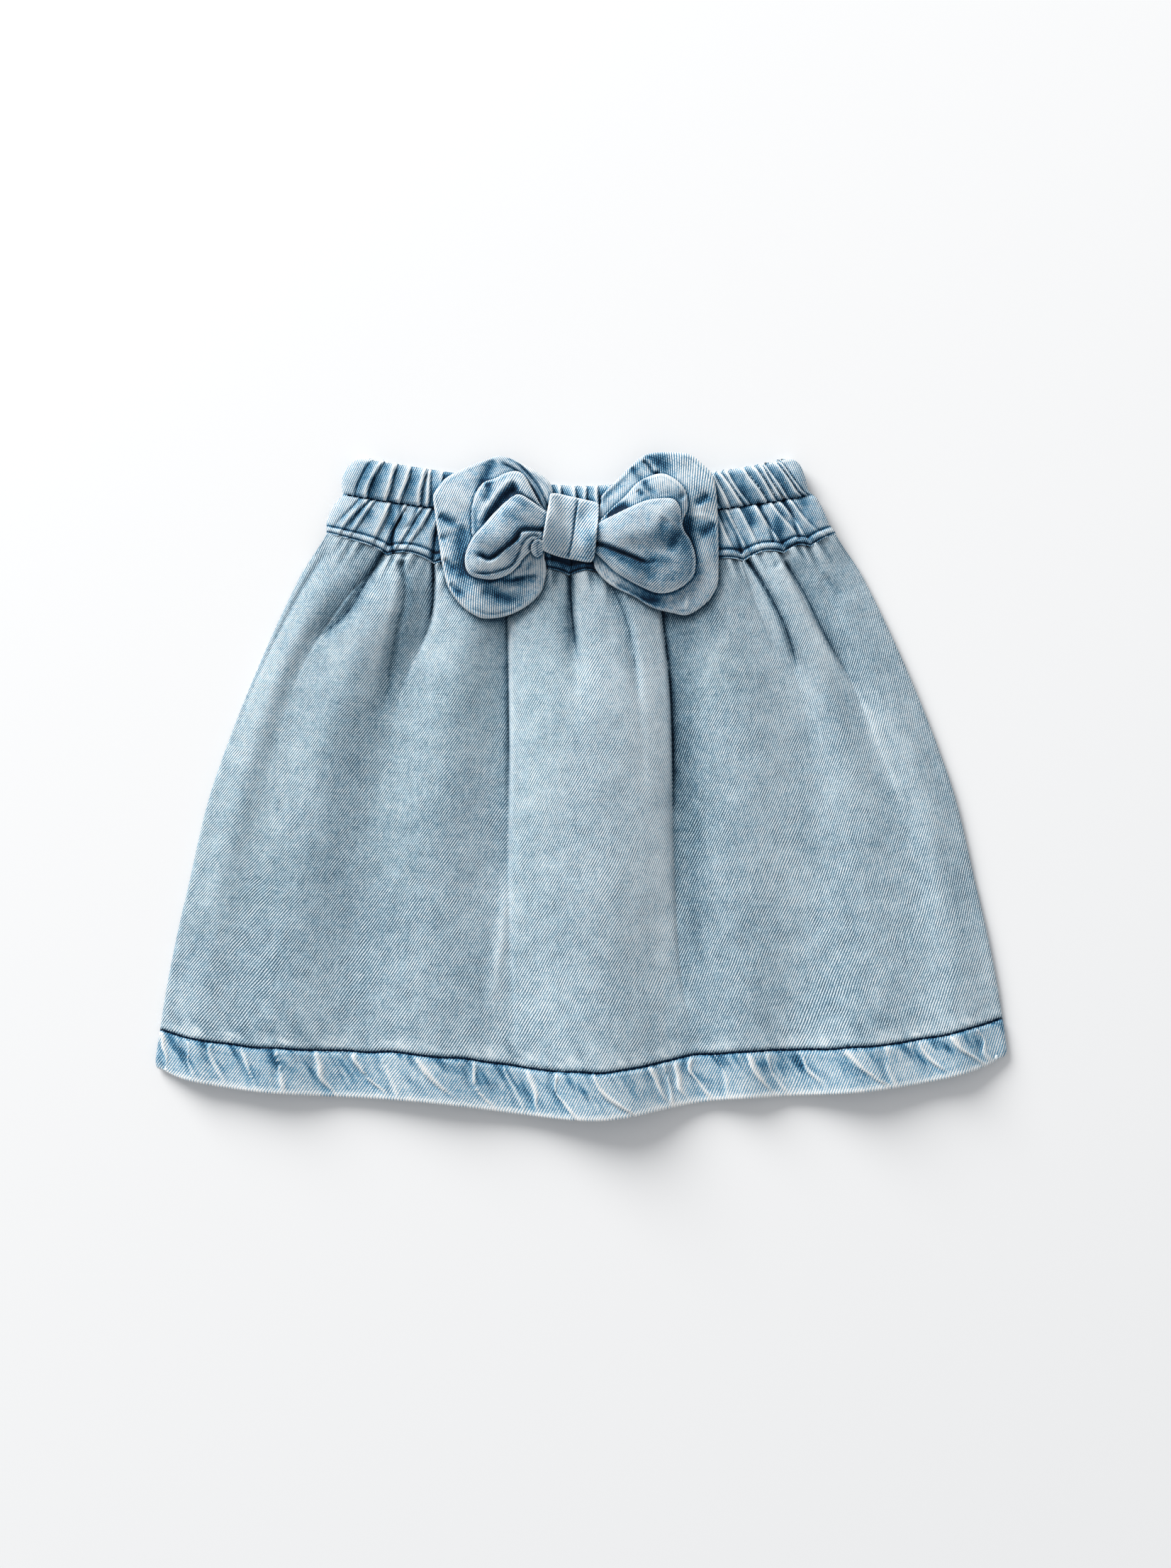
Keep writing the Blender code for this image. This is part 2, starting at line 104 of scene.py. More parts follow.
def crease(depth, width, bank, *route, **more):
    """A crease: how deep and wide it is, how far the cloth stands up on its left, and its route.

    far_bank is the bank on its right, spread how much wider it ends, and fade the shares of its length
    over which it starts and ends. east and west are how much painted shade lies on each side of it and how
    far out, painted light where below zero, and a line strength, where given, paints a thin dark line of
    shade along it.
    """
    return {"depth": depth, "width": width, "bank": bank, "route": route, **more}


def fold(x, depth, half):
    """A short fold pressed into the front: its place, depth and half width, at STATIONS."""
    return {"x": x, "depth": depth, "half": half}


def valley(x, z, left_crisp, right_crisp):
    """A valley between two pipe folds: its place, its height and how crisp each side is, at STATIONS."""
    return {"x": x, "z": z, "left_crisp": left_crisp, "right_crisp": right_crisp}


# The front's valleys, from left to right.
VALLEYS = (
    valley(
        x=(-82.0, -101.0, -121.0, -137.0, -147.0, -155.0),
        z=(6.6, 6.0, 5.2, 4.6, 5.0, 7.5),
        left_crisp=(0.5, 0.4, 0.1, 0.0, 0.0, 0.0),
        right_crisp=(0.8, 0.8, 0.2, 0.0, 0.0, 0.0),
    ),
    valley(
        x=(-62.0, -63.0, -77.0, -88.0, -96.0, -101.0),
        z=(5.8, 4.4, 4.2, 4.0, 4.0, 4.7),
        left_crisp=(0.6, 0.3, 0.0, 0.0, 0.0, 0.0),
        right_crisp=(0.9, 0.95, 0.3, 0.0, 0.0, 0.0),
    ),
    valley(
        x=(-30.0, -30.6, -31.0, -31.0, -29.5, -26.0),
        z=(5.8, 4.2, 3.9, 3.9, 4.4, 6.2),
        left_crisp=(0.6, 0.3, 0.1, 0.0, 0.0, 0.0),
        right_crisp=(0.9, 1.0, 1.0, 0.9, 0.35, 0.0),
    ),
    valley(
        x=(31.0, 34.2, 38.0, 38.8, 42.0, 52.0),
        z=(5.8, 4.2, 3.9, 3.9, 4.0, 4.7),
        left_crisp=(0.9, 1.0, 1.0, 0.9, 0.3, 0.0),
        right_crisp=(0.6, 0.3, 0.1, 0.0, 0.0, 0.0),
    ),
    valley(
        x=(68.5, 76.0, 93.0, 99.0, 94.0, 88.0),
        z=(5.8, 4.6, 4.6, 4.2, 4.0, 4.7),
        left_crisp=(0.9, 0.9, 0.3, 0.0, 0.0, 0.0),
        right_crisp=(0.6, 0.4, 0.0, 0.0, 0.0, 0.0),
    ),
    valley(
        x=(85.5, 96.0, 114.5, 136.0, 145.0, 147.0),
        z=(6.2, 5.2, 4.8, 4.6, 5.4, 7.5),
        left_crisp=(0.8, 0.9, 0.6, 0.1, 0.0, 0.0),
        right_crisp=(0.6, 0.6, 0.3, 0.0, 0.0, 0.0),
    ),
)

# How high each pipe fold stands over its valleys, from left to right, at STATIONS.
PIPE_RISE = (
    (1.6, 3.2, 2.6, 1.6, 1.4, 1.8),
    (2.4, 6.4, 5.2, 3.0, 2.0, 2.6),
    (2.6, 6.6, 6.2, 5.0, 3.4, 2.6),
    (3.0, 8.6, 12.0, 12.0, 10.4, 8.4),
    (2.8, 6.0, 5.4, 4.0, 3.0, 3.0),
    (2.2, 5.6, 4.6, 2.6, 2.6, 4.6),
    (1.8, 3.6, 3.4, 2.6, 2.2, 2.4),
)
PIPE_COLUMNS = (34, 32, 38, 74, 44, 34, 42)
PIPE_EASE = 0.5
CRISP_POWER = 0.55

# Shorter folds pressed into the pipes: under the knot, to its right and at the right edge.
PINCHES = (
    fold(
        x=(-5.0, -3.6, -2.0, 0.0, 0.0, 0.0),
        depth=(2.2, 4.2, 0.8, 0.0, 0.0, 0.0),
        half=(3.0, 4.0, 7.0, 10.0, 10.0, 10.0),
    ),
    fold(
        x=(10.0, 17.0, 24.5, 27.0, 27.0, 27.0),
        depth=(1.6, 1.8, 1.2, 0.0, 0.0, 0.0),
        half=(3.0, 4.0, 5.0, 8.0, 8.0, 8.0),
    ),
    fold(
        x=(97.0, 106.0, 122.0, 140.0, 150.0, 160.0),
        depth=(1.2, 1.6, 0.0, 0.0, 0.0, 0.0),
        half=(3.0, 4.0, 6.0, 8.0, 8.0, 8.0),
    ),
)

# Sharper lines in the front, most of them from the seam down, with painted shade beside them and in some
#  a thin dark line of painted shade.
FRONT_CREASES = {
    "side_line_left": crease(
        1.1, 1.2, 0.0, (-107, 102), (-122, 77), (-138, 45), (-150, 12), east=(0.1, 1.2), west=(0.22, 1.4),
    ),
    "valley_left": crease(
        2.8, 1.4, 0.3, (-82.6, 102), (-91, 87.5), (-98, 75.5), (-108, 66.5), (-119, 60), spread=2.4,
        fade=(0.01, 0.5), east=(0.8, 2.4), west=(0.85, 4.0), ink=0.8,
    ),
    "valley_tuck": crease(
        2.4, 1.4, 0.0, (-76, 97), (-74.4, 82), (-77.5, 69), (-80.6, 53.4), (-82.4, 40), (-88, 26), spread=2.2,
        fade=(0.02, 0.45), east=(0.9, 4.6), west=(0.4, 1.6), ink=0.2,
    ),
    "tuck_left": crease(
        2.5, 0.9, 1.2, (-62.4, 98), (-62.6, 84), (-63.4, 74), (-66, 65), (-70, 57), fade=(0.01, 0.6),
        east=(0.6, 0.8), west=(0.9, 1.8), ink=1.3,
    ),
    "under_knot": crease(
        2.0, 1.1, 0.6, (-5.3, 93), (-4.2, 78), (-2.7, 63), (-1, 52), fade=(0.01, 0.4), east=(0.8, 1.6),
        west=(0.9, 2.4), ink=0.9,
    ),
    "right_of_knot": crease(
        1.2, 1.5, 0.4, (12, 88), (19, 71), (23, 50), (24.5, 34), east=(0.4, 2.4), west=(0.4, 3.0), ink=0.5,
    ),
    "panel_left": crease(
        0.5, 0.8, 0.0, (-31.6, 72), (-31.2, 52), (-30.6, 20), (-30.6, -16), (-31.5, -60), fade=(0.01, 0.5),
        west=(0.42, 6.0),
    ),
    "panel_left_line": crease(
        1.1, 0.7, 1.0, (-31.6, 74), (-31.2, 52), (-30.6, 20), (-30.6, -24), fade=(0.01, 0.5),
        west=(0.35, 1.0), ink=0.6,
    ),
    "panel_right_line": crease(
        1.2, 0.7, 0.0, (34.0, 78), (35.2, 66), (37.6, 44), (38.8, 10), (38.9, -16), far_bank=1.0,
        fade=(0.01, 0.35), east=(1.1, 1.0), ink=1.0,
    ),
    "panel_ridge": crease(
        -0.8, 2.2, 0.0, (-31, -34), (-33, -58), (-36, -81), (-38.5, -102), fade=(0.25, 0.5),
        east=(-0.16, 5.0), west=(-0.3, 2.0),
    ),
    "panel_right": crease(
        0.5, 0.8, 0.0, (34.4, 75), (37.6, 44), (38.8, 10), (38.9, -20), (41.4, -75), (47, -116),
        fade=(0.01, 0.5), east=(0.7, 8.0),
    ),
    "tuck_right": crease(
        2.0, 0.9, 0.0, (67.4, 101), (76, 88), (84.3, 72), (89, 59.5), (92, 44), spread=1.8, far_bank=0.5,
        fade=(0.01, 0.35), east=(1.1, 1.5), west=(1.1, 1.7), ink=0.8,
    ),
    "long_right": crease(
        1.3, 1.3, 0.0, (85.5, 97), (94.5, 82), (101.7, 67.5), (108.6, 55), (119, 39), far_bank=1.3,
        fade=(0.04, 0.45), east=(0.75, 5.5), west=(0.5, 1.0), ink=0.7,
    ),
    "edge_hollow": crease(
        1.2, 1.8, 0.0, (101, 92), (107, 85.5), (113, 80), fade=(0.3, 0.4), east=(0.5, 3.0), west=(0.5, 3.0),
    ),
    "ridge_right": crease(-0.7, 2.0, 0.0, (118, 40), (125, 22), (134, 0), (139, -16)),
}
SHADE_ONSET = 0.7

# Patches of painted shade on the front, over the wash's own blue in its hollows: x, y, two half widths,
#  turn in degrees and strength. Below zero it is painted light.
FRONT_SHADE_AND_LIGHT = (
    (-40, 70, 22, 7, 88, 0.12), (-100, 30, 34, 9, 62, 0.08), (-36, 74, 6, 8, 90, 0.3),
    (-75, -30, 70, 34, 95, 0.06), (-112, -50, 26, 9, 80, 0.06), (120, 60, 24, 7, 118, 0.08),
    (20, 78, 10, 4, 100, 0.1), (55, 74, 8, 4, 100, 0.5), (44, 66, 10, 5, 96, 0.12),
    (3, 20, 60, 26, 90, -0.06), (28, 30, 50, 8, 91, -0.24), (26, -50, 40, 11, 90, -0.14),
    (-95, 68, 30, 4, 62, -0.16), (55, 52, 8, 3, 70, -0.16), (-55, 62, 20, 5, 90, -0.1),
    (150, -60, 40, 12, 100, -0.08), (82, 60, 30, 5, 112, -0.08), (-108, -45, 62, 46, 90, 0.07),
    (-59, 34, 36, 7, 92, 0.14), (-41, 32, 44, 4.5, 90, -0.16), (16, -76, 26, 14, 90, -0.1),
    (-83.5, 65, 32, 2.8, 73, -0.36), (-63, 56, 9, 5, 30, -0.28), (-46, 34, 16, 14, 90, 0.12),
    (-143, 14, 34, 6, 68, -0.16), (86, -26, 80, 10, 92, -0.12), (140, 10, 26, 8, 108, -0.14),
    (171, -72, 20, 5, 100, -0.2), (47, -24, 84, 5, 92, 0.3), (34.6, -30, 66, 4, 91, -0.26),
    (-5, 59, 13, 3, 95, 0.2), (21, 60, 13, 3, 100, 0.15), (80, 75, 20, 6, 115, -0.2),
    (-134, -75, 45, 22, 90, 0.14), (-95, -5, 100, 13, 90, 0.12), (62, -20, 100, 11, 90, 0.1),
    (99, -80, 45, 18, 90, 0.1), (138, -44, 36, 14, 100, 0.12), (136, 18, 11, 9, 0, -0.1),
    (99, 68, 24, 12, 110, -0.08), (24, 6, 70, 10, 90, -0.14), (3, 30, 50, 14, 90, -0.06),
    (60, 84, 14, 5, 100, -0.12),
)

# The upper channel's gathers: where each ridge stands at the waist and at the stitches, and how strong it is.
UPPER_GATHERS = (
    (-93.2, -94.4, 1.0), (-87.4, -89.9, 1.0), (-80.5, -81.7, 1.1), (-74.6, -75.7, 1.0), (-68.1, -67.9, 1.1),
    (-65.5, -64.3, 0.9), (-60.6, -60.0, 0.7), (-54.8, -54.0, 1.0), (-47.5, -47.0, 1.0), (-41.0, -40.2, 0.8),
    (-35.5, -35.0, 1.0), (-29.0, -29.8, 1.0), (-22.5, -22.0, 0.9), (-15.0, -15.6, 1.0), (-9.3, -8.6, 0.9),
    (-3.6, -3.0, 1.1), (1.2, 1.8, 0.8), (6.6, 6.0, 1.0), (11.7, 12.6, 1.0), (17.4, 17.0, 0.9),
    (23.4, 24.0, 1.0), (29.0, 28.0, 0.9), (35.0, 35.6, 1.0), (41.2, 41.0, 0.9), (47.5, 50.4, 1.0),
    (52.5, 56.5, 0.8), (56.9, 60.7, 1.0), (59.4, 66.7, 1.0), (62.3, 68.9, 0.9), (69.9, 76.1, 1.1),
    (74.3, 80.5, 1.0), (77.6, 83.4, 1.0), (79.8, 86.0, 0.9), (84.9, 92.8, 1.1), (87.8, 95.2, 0.9),
)

# The lower channel's gathers, from the stitches to the seam.
LOWER_GATHERS = (
    (-97.0, -103.0, 0.7), (-93.0, -99.5, 0.9), (-89.7, -95.5, 0.8), (-83.4, -85.5, 1.1), (-76.8, -81.9, 1.0),
    (-69.3, -77.2, 0.8), (-65.7, -72.5, 0.9), (-62.4, -62.1, 1.0), (-55.0, -56.5, 0.9), (-46.5, -47.0, 1.0),
    (-38.0, -39.0, 0.9), (-29.5, -30.0, 1.0), (-21.0, -22.5, 0.9), (-13.0, -13.5, 1.0), (-6.0, -5.5, 1.1),
    (1.0, 1.5, 0.9), (8.5, 9.5, 1.0), (16.0, 17.5, 0.9), (24.0, 25.0, 1.0), (32.0, 34.0, 0.9),
    (40.5, 43.0, 1.0), (49.0, 53.0, 0.9), (57.5, 63.0, 0.9), (62.5, 68.0, 0.8), (67.5, 73.0, 0.7),
    (74.6, 82.8, 1.1), (82.0, 90.0, 1.1), (85.5, 94.0, 0.8), (90.5, 99.0, 0.9),
)
CREST_WIDTH = 1.3
CREST_INSET, CREST_GLOW = 1.0, 0.75
PLEAT_RISE = 1.6
PLEAT_SWAY = 0.3
PLEAT_DROP = 0.45
NARROWEST_PLEAT, USUAL_PLEAT = 0.8, 4.0
DITCH_DEPTH = 1.25
DITCH_WIDTH = 0.45

# The band: w runs from 0 at the waist's edge over the stitched line to 1 at the seam.
STITCH_W = 0.5
SEAM_CORD = 0.945
CHANNEL_PUFF = 1.1
CORNER_AT, CORNER_ROUND, CORNER_POWER = 0.14, 3.0, 14
LEFT_BULGE, RIGHT_BULGE = 2.4, 0.8
CASING_DRAW, CHANNEL_DRAW = 4.6, 1.8
DRAW_FROM, DRAW_POWER = 0.78, 1.5
STITCH_GROOVE = 1.2
BAND_END_ROUND, BAND_END_Z = 5.0, 4.6
BAND_INNER_FLOOR = 4.2
UPPER_SPREAD, LOWER_SPREAD = 0.98, 1.03

# Deep creases of the band's lower channel.
BAND_CREASES = {
    "left_outer": crease(0.9, 0.8, 0.0, (-91, 122), (-96, 114), (-99, 109)),
    "left_deep": crease(
        1.9, 0.9, 0.5, (-75.7, 121), (-76.2, 115), (-79, 110), (-79.8, 104), (-79, 99), fade=(0.1, 0.02),
    ),
    "left_short": crease(1.3, 0.8, 0.3, (-68.7, 120), (-70.7, 113), (-75.3, 109)),
    "left_bow": crease(1.6, 0.9, 0.0, (-61.4, 112), (-62.3, 104), (-62.7, 97), fade=(0.3, 0.02)),
    "right_bow": crease(
        1.8, 0.8, 0.4, (59.7, 119), (62.3, 113), (65.2, 108), (67, 102.6), (67.7, 99), fade=(0.1, 0.02),
    ),
    "right_middle": crease(
        1.7, 0.8, 0.4, (74.3, 122.5), (76.4, 117), (79.4, 111), (81.2, 104), fade=(0.1, 0.02),
    ),
    "right_outer": crease(
        1.6, 0.8, 0.3, (83.7, 124.5), (88.8, 116), (90.9, 109), (92.1, 105), fade=(0.1, 0.02),
    ),
}

# Bluer patches of the band, given as the front's are: the wash's blue in its hollows with painted shade
#  there.
BAND_BLUE_AND_SHADE = (
    (-80, 110.7, 7, 2.2, 88, 0.8), (-69, 112.8, 5, 2, 70, 0.6), (-92, 116, 4, 3, 60, 0.5),
    (-88, 129.6, 5, 3.4, 80, 0.5), (-71, 128, 5, 2.4, 85, 0.4), (83.5, 110.7, 7, 2.2, 98, 0.9),
    (93.4, 121, 4, 2.6, 110, 0.8), (71, 114.6, 4, 2, 110, 0.6), (90, 103.6, 8, 1.8, 12, 1.2),
    (84.6, 131.4, 6, 2.6, 105, 0.5), (68.4, 126, 6, 2, 102, 0.5), (-80, 99.6, 4, 1.4, 0, 0.8),
    (-62.5, 98.6, 2.6, 2, 0, 0.9), (67, 101, 4, 1.8, 0, 1.1), (76, 129, 6, 5, 100, 0.3),
    (90, 132, 4, 4, 100, 0.3), (-98, 110, 4, 2, 60, 0.4), (97, 113, 5, 2.4, 100, 0.5),
    # The last patch is painted shadow under the knot.
    (-3, 95.5, 12, 4.5, 0, 1.7),
)

# The hem's slanted puckers: where each starts at the stitches and ends at the edge, and how strong it is.
HEM_ROPES = (
    (-178.8, -172.2, 0.9), (-167.0, -162.0, 0.4), (-156.0, -151.0, 0.4), (-142.8, -137.1, 0.7),
    (-129.6, -123.9, 0.8), (-112.5, -103.2, 0.9), (-95.4, -81.3, 1.2), (-84.6, -77.4, 0.5),
    (-71.7, -46.2, 1.4), (-46.5, -36.9, 0.9), (-31.0, -25.0, 0.4), (-23.4, -16.5, 0.8), (-12.3, -1.2, 1.0),
    (6.0, 21.3, 1.1), (29.7, 36.6, 0.8), (33.9, 40.8, 0.7), (39.3, 46.5, 0.9), (46.5, 53.4, 0.8),
    (57.0, 63.0, 0.4), (68.7, 84.0, 0.9), (78.6, 87.0, 0.5), (92.4, 105.0, 1.0), (110.7, 131.7, 1.0),
    (127.5, 133.5, 0.5), (142.8, 156.6, 0.9), (156.6, 170.7, 0.9), (166.5, 174.0, 0.6),
)
ROPE_HEIGHT, ROPE_WIDTH = 0.85, 0.65
ROPE_HOLLOW, ROPE_HOLLOW_AWAY, ROPE_HOLLOW_WIDTH = 0.55, 2.0, 1.5

# The bow's sewn bags, from the lowest layer up. Each lies on all that is under its layer.
# hub is a bag's middle, rim the radius of its edge, puff how far it is puffed up and fine its cloth's scale.
# weave is the twill's angle at the hub and its change to the right and up. Of its two lists of patches,
#  the first is painted shade in crevices, beside creases and under the layers above, over the wash's own
#  blue, and the second is paler spots on ridges and edges.
BOW = (
    {
        "name": "outer_left", "layer": 0, "hub": (-38, 106), "rim": 1.15, "puff": 3.2,
        "weave": (75, 0.2, -0.5),
        "outline": (
            (-11.1, 123.9), (-13.2, 130.2), (-21, 135.9), (-33, 141), (-40.8, 139.2), (-49.2, 135.9),
            (-57, 131.7), (-60.6, 127.5), (-62.7, 123.9), (-62.1, 117), (-60.6, 106.2), (-59.1, 95.7),
            (-56.4, 84.9), (-51.3, 77.4), (-45.6, 72.9), (-40.2, 71.1), (-31.5, 72.3), (-23.1, 76.2),
            (-16.8, 82.2), (-14.4, 90), (-14.4, 94.2), (-15, 99.3), (-12, 108), (-10, 116),
        ),
        "creases": (
            crease(1.1, 2.4, 0.3, (-36, 139), (-40, 132), (-43, 123)),
            crease(
                1.9, 0.55, 0.7, (-32.4, 140), (-26.7, 137.4), (-22.4, 132.9), (-17.6, 127), (-14, 119),
                (-13, 114), fade=(0.1, 0.05),
            ),
            crease(
                1.7, 0.55, 0.6, (-34, 137.6), (-28, 134.6), (-23.6, 130.4), (-19.4, 124.6), (-16.4, 117),
                (-15.4, 112), fade=(0.1, 0.05),
            ),
            crease(1.2, 1.7, 0.5, (-60, 115.5), (-56, 113), (-51, 111)),
            crease(0.8, 1.2, 0.2, (-59.5, 106), (-56, 105)),
            crease(1.0, 1.4, 0.4, (-58, 97), (-52, 91.5)),
            crease(1.0, 1.4, 0.4, (-55.5, 86.5), (-49, 81)),
            crease(1.3, 3.0, 0.0, (-50, 112), (-50.5, 100), (-49, 88), (-44, 83)),
            crease(0.9, 2.6, 0.2, (-42, 84), (-34, 81), (-26, 79.5)),
            crease(1.4, 0.8, 0.5, (-29, 88.6), (-22, 89.4), (-16.5, 90)),
            crease(0.35, 0.5, 0.0, (-47, 76), (-38, 73.5), (-29, 75), (-21, 79.5)),
        ),
        "shade_and_dye": (
            (-39.6, 134, 7, 2.4, 70, 0.5), (-33, 136, 5, 2, 60, 0.4), (-57.4, 114.3, 4, 3, -20, 0.6),
            (-57.4, 107, 2.6, 1.6, 0, 0.5), (-51, 104, 9, 3, 92, 0.35), (-51, 92, 7, 3, 95, 0.4),
            (-55.7, 93, 3.6, 2.6, -40, 0.5), (-51.3, 82.5, 3.4, 2, -30, 0.5), (-36, 82.4, 8, 2.4, -22, 0.6),
            (-28.4, 80.3, 6, 2.2, 12, 0.6), (-43, 124, 5, 2.4, 75, 0.4), (-30, 86.5, 8, 1.6, 0, 0.7),
            (-44, 76, 3, 2, 20, 0.3), (-28.5, 87.8, 6, 0.9, 2, 1.5), (-40, 87, 5, 0.8, 8, 0.9),
            (-22, 93.6, 3, 1.2, 50, 0.8), (-24, 134.6, 9, 0.7, -38, 0.8), (-17.6, 123, 8, 0.7, -66, 0.8),
        ),
        "pale_spots": (
            (-54.6, 109.3, 3.4, 1.2, -25, 0.35), (-57.5, 100, 8, 1.6, 88, 0.2), (-50, 118, 8, 4, 60, 0.12),
            (-24, 136, 8, 2, -38, 0.3), (-35, 76, 9, 2, 5, 0.2), (-19, 92, 4, 4, 0, 0.12),
        ),
    },
    {
        "name": "outer_right", "layer": 0, "hub": (33, 108), "rim": 1.15, "puff": 3.2,
        "weave": (78, -0.3, 0.5),
        "outline": (
            (7.8, 120.6), (8.1, 123.6), (12.6, 128.7), (18.6, 134.7), (25.2, 140.7), (31.2, 142.5),
            (40.2, 142.5), (46.2, 141.6), (51.3, 137.7), (55.8, 132.6), (57.3, 125.1), (57.9, 115.2),
            (58.2, 104.1), (58.2, 93), (57.9, 86.4), (55.2, 80.4), (50.7, 75.9), (44.7, 72.6), (38.7, 73.5),
            (29.7, 75.9), (22.2, 80.4), (12, 85.5), (6, 91.5), (4.5, 96), (3, 104), (5, 113),
        ),
        "creases": (
            crease(0.9, 2.4, 0.0, (26, 141), (32, 137.5), (39, 132)),
            crease(1.8, 0.7, 0.8, (26, 138.4), (28.6, 136), (30.6, 133), (33.6, 133.6), fade=(0.05, 0.2)),
            crease(1.1, 1.3, 0.3, (21, 136), (24, 131.5), (27, 130)),
            crease(0.9, 1.6, 0.0, (7, 119), (12, 124.5), (17.5, 129), (22, 131)),
            crease(1.0, 1.4, 0.4, (53.5, 124), (50, 121), (46.5, 119)),
            crease(-0.45, 1.2, 0.0, (45.6, 114), (49, 115.2), (54.5, 114)),
            crease(1.3, 2.2, 0.0, (45.5, 116), (44.6, 109), (46.6, 101), (49.4, 93)),
            crease(0.8, 1.8, 0.3, (56.5, 112), (52, 108), (48, 107)),
            crease(-0.5, 1.2, 0.0, (43.3, 75), (44.4, 79.6), (43.3, 84)),
            crease(1.0, 2.0, 0.0, (14, 86), (22, 81), (30, 79), (38, 80)),
            crease(0.35, 0.5, 0.0, (8, 90.5), (14, 86.4), (23.5, 81.6), (31, 77.4), (40, 75)),
        ),
        "shade_and_dye": (
            (33, 137, 8, 2.2, -35, 0.5), (22.6, 134.8, 4, 2.4, 40, 0.4), (53, 122, 4, 2.4, -25, 0.8),
            (50.5, 110, 7, 2.2, 4, 0.8), (40, 138, 9, 3.4, -10, 0.3), (30, 79.6, 6, 2.4, -10, 0.5),
            (46, 109.2, 7, 2.2, 92, 0.4), (52.4, 108, 5, 3.4, 20, 0.5), (57, 99, 5, 1.6, 90, 0.4),
            (26.5, 81.4, 9, 2, -20, 0.7), (42.5, 81, 4, 3, 40, 0.5), (34, 139.5, 3, 2, 0, 0.4),
            (50, 128, 3, 3, 0, 0.2), (49.6, 92, 6, 2, 80, 0.5),
        ),
        "pale_spots": (
            (28, 138, 3, 1.2, -35, 0.3), (44.4, 78, 5, 1, 90, 0.3), (51.6, 99, 8, 2.2, 84, 0.18),
            (30, 134, 3, 1.2, 8, 0.12), (14, 124, 8, 2, 44, 0.2), (50, 134, 5, 3, -50, 0.12),
        ),
    },
    {
        "name": "inner_left_upper", "layer": 1, "hub": (-31, 118), "rim": 1.2, "puff": 3.2,
        "weave": (58, -0.5, 0.2),
        "outline": (
            (-12, 114), (-16.5, 119), (-20.6, 126.5), (-23.8, 132.1), (-27.3, 133.9), (-31.8, 133),
            (-36, 130.8), (-41.2, 128.8), (-44.6, 123.8), (-46.3, 117), (-46.2, 111), (-45.7, 106),
            (-40, 103.4), (-30, 103), (-20, 104), (-13, 108),
        ),
        "creases": (
            crease(1.1, 1.5, 0.0, (-39.6, 129), (-38.6, 124.5), (-41, 119)),
            crease(-1.0, 1.4, 0.0, (-28.5, 131), (-34, 125), (-40, 117), (-44.4, 108)),
            crease(2.6, 1.9, 0.0, (-26, 128.5), (-31, 123.8), (-36.5, 117.5), (-43, 108)),
            crease(1.4, 1.2, 0.4, (-30, 126.2), (-26, 123.5), (-20, 119.5), (-13.5, 116)),
        ),
        "shade_and_dye": (
            (-39, 128, 3, 2, 70, 0.7), (-44.5, 112, 6, 2, 100, 0.7), (-36, 119, 8, 2.6, 52, 0.6),
            (-29.5, 125, 4, 2, 30, 0.6), (-41.6, 121, 4, 1.6, 60, 0.4),
        ),
        "pale_spots": (
            (-34.6, 124.6, 8, 1.2, 52, 0.35), (-25, 129, 5, 3, -40, 0.25), (-41, 127.6, 3, 1, 30, 0.3),
        ),
    },
    {
        "name": "inner_right_upper", "layer": 1, "hub": (28, 117), "rim": 1.2, "puff": 3.2,
        "weave": (84, 0.3, 0.1),
        "outline": (
            (4, 110), (7.6, 113), (13.2, 118.6), (18.2, 123), (23.2, 128.6), (28.8, 131.7), (34.3, 132.8),
            (38.8, 130.9), (42.7, 127.5), (44.7, 123), (45, 118), (43.2, 113.6), (41, 109), (30, 106),
            (15, 105),
        ),
        "creases": (
            crease(1.0, 1.3, 0.3, (26, 130.4), (28, 126), (32.5, 123.4)),
            crease(0.8, 1.2, 0.2, (23.5, 125.4), (26.4, 122.4)),
            crease(0.9, 1.2, 0.3, (44, 124), (40.5, 121.4)),
            crease(1.6, 1.8, 0.0, (10, 114), (16, 117.6), (22, 120.4)),
            crease(1.0, 0.8, 0.3, (11, 116.4), (14, 119), (18, 121.6)),
        ),
        "shade_and_dye": (
            (27, 128, 3, 1.6, -50, 0.6), (25.4, 124, 2.6, 1.4, -40, 0.5), (40.5, 120.4, 2.4, 3, 0, 0.6),
            (15.4, 117.2, 5, 1.8, 35, 0.7), (31, 123.2, 6, 1, 15, 0.5),
        ),
        "pale_spots": (
            (35, 130, 6, 2, -20, 0.2), (20, 121.5, 5, 1.4, 42, 0.25), (42.6, 119, 4, 1, 85, 0.2),
        ),
    },
    {
        "name": "inner_left_front", "layer": 2, "hub": (-32, 105), "rim": 1.35, "puff": 5.0,
        "weave": (49, -0.25, 0.1),
        "outline": (
            (-11, 113), (-16, 117.6), (-21, 121.2), (-25.5, 123.6), (-29, 122.4), (-34.5, 117.6),
            (-41, 110.6), (-46.2, 104.6), (-48.8, 98.6), (-48.9, 93.4), (-47, 89.8), (-43, 88.2), (-37, 87.7),
            (-31, 89.6), (-26.6, 93.2), (-23.6, 97.4), (-20, 100), (-15, 102), (-10, 106),
        ),
        "creases": (
            crease(
                2.8, 1.0, 1.0, (-15.5, 108.6), (-24.6, 108.2), (-27, 104.6), (-32, 101), (-38, 96.6),
                (-42, 97.8), (-44.8, 96.8), fade=(0.02, 0.15),
            ),
            crease(
                1.5, 0.6, 0.4, (-17, 105.6), (-20.6, 106), (-24, 103.4), (-26.8, 97.6), (-30, 93.3),
                (-38, 90.6), (-45.4, 90.6), fade=(0.05, 0.1),
            ),
            crease(1.2, 0.6, 0.3, (-19.6, 104.6), (-21.6, 101), (-19.4, 99)),
            crease(0.4, 2.0, 0.0, (-33, 116), (-27, 112), (-20, 111.5)),
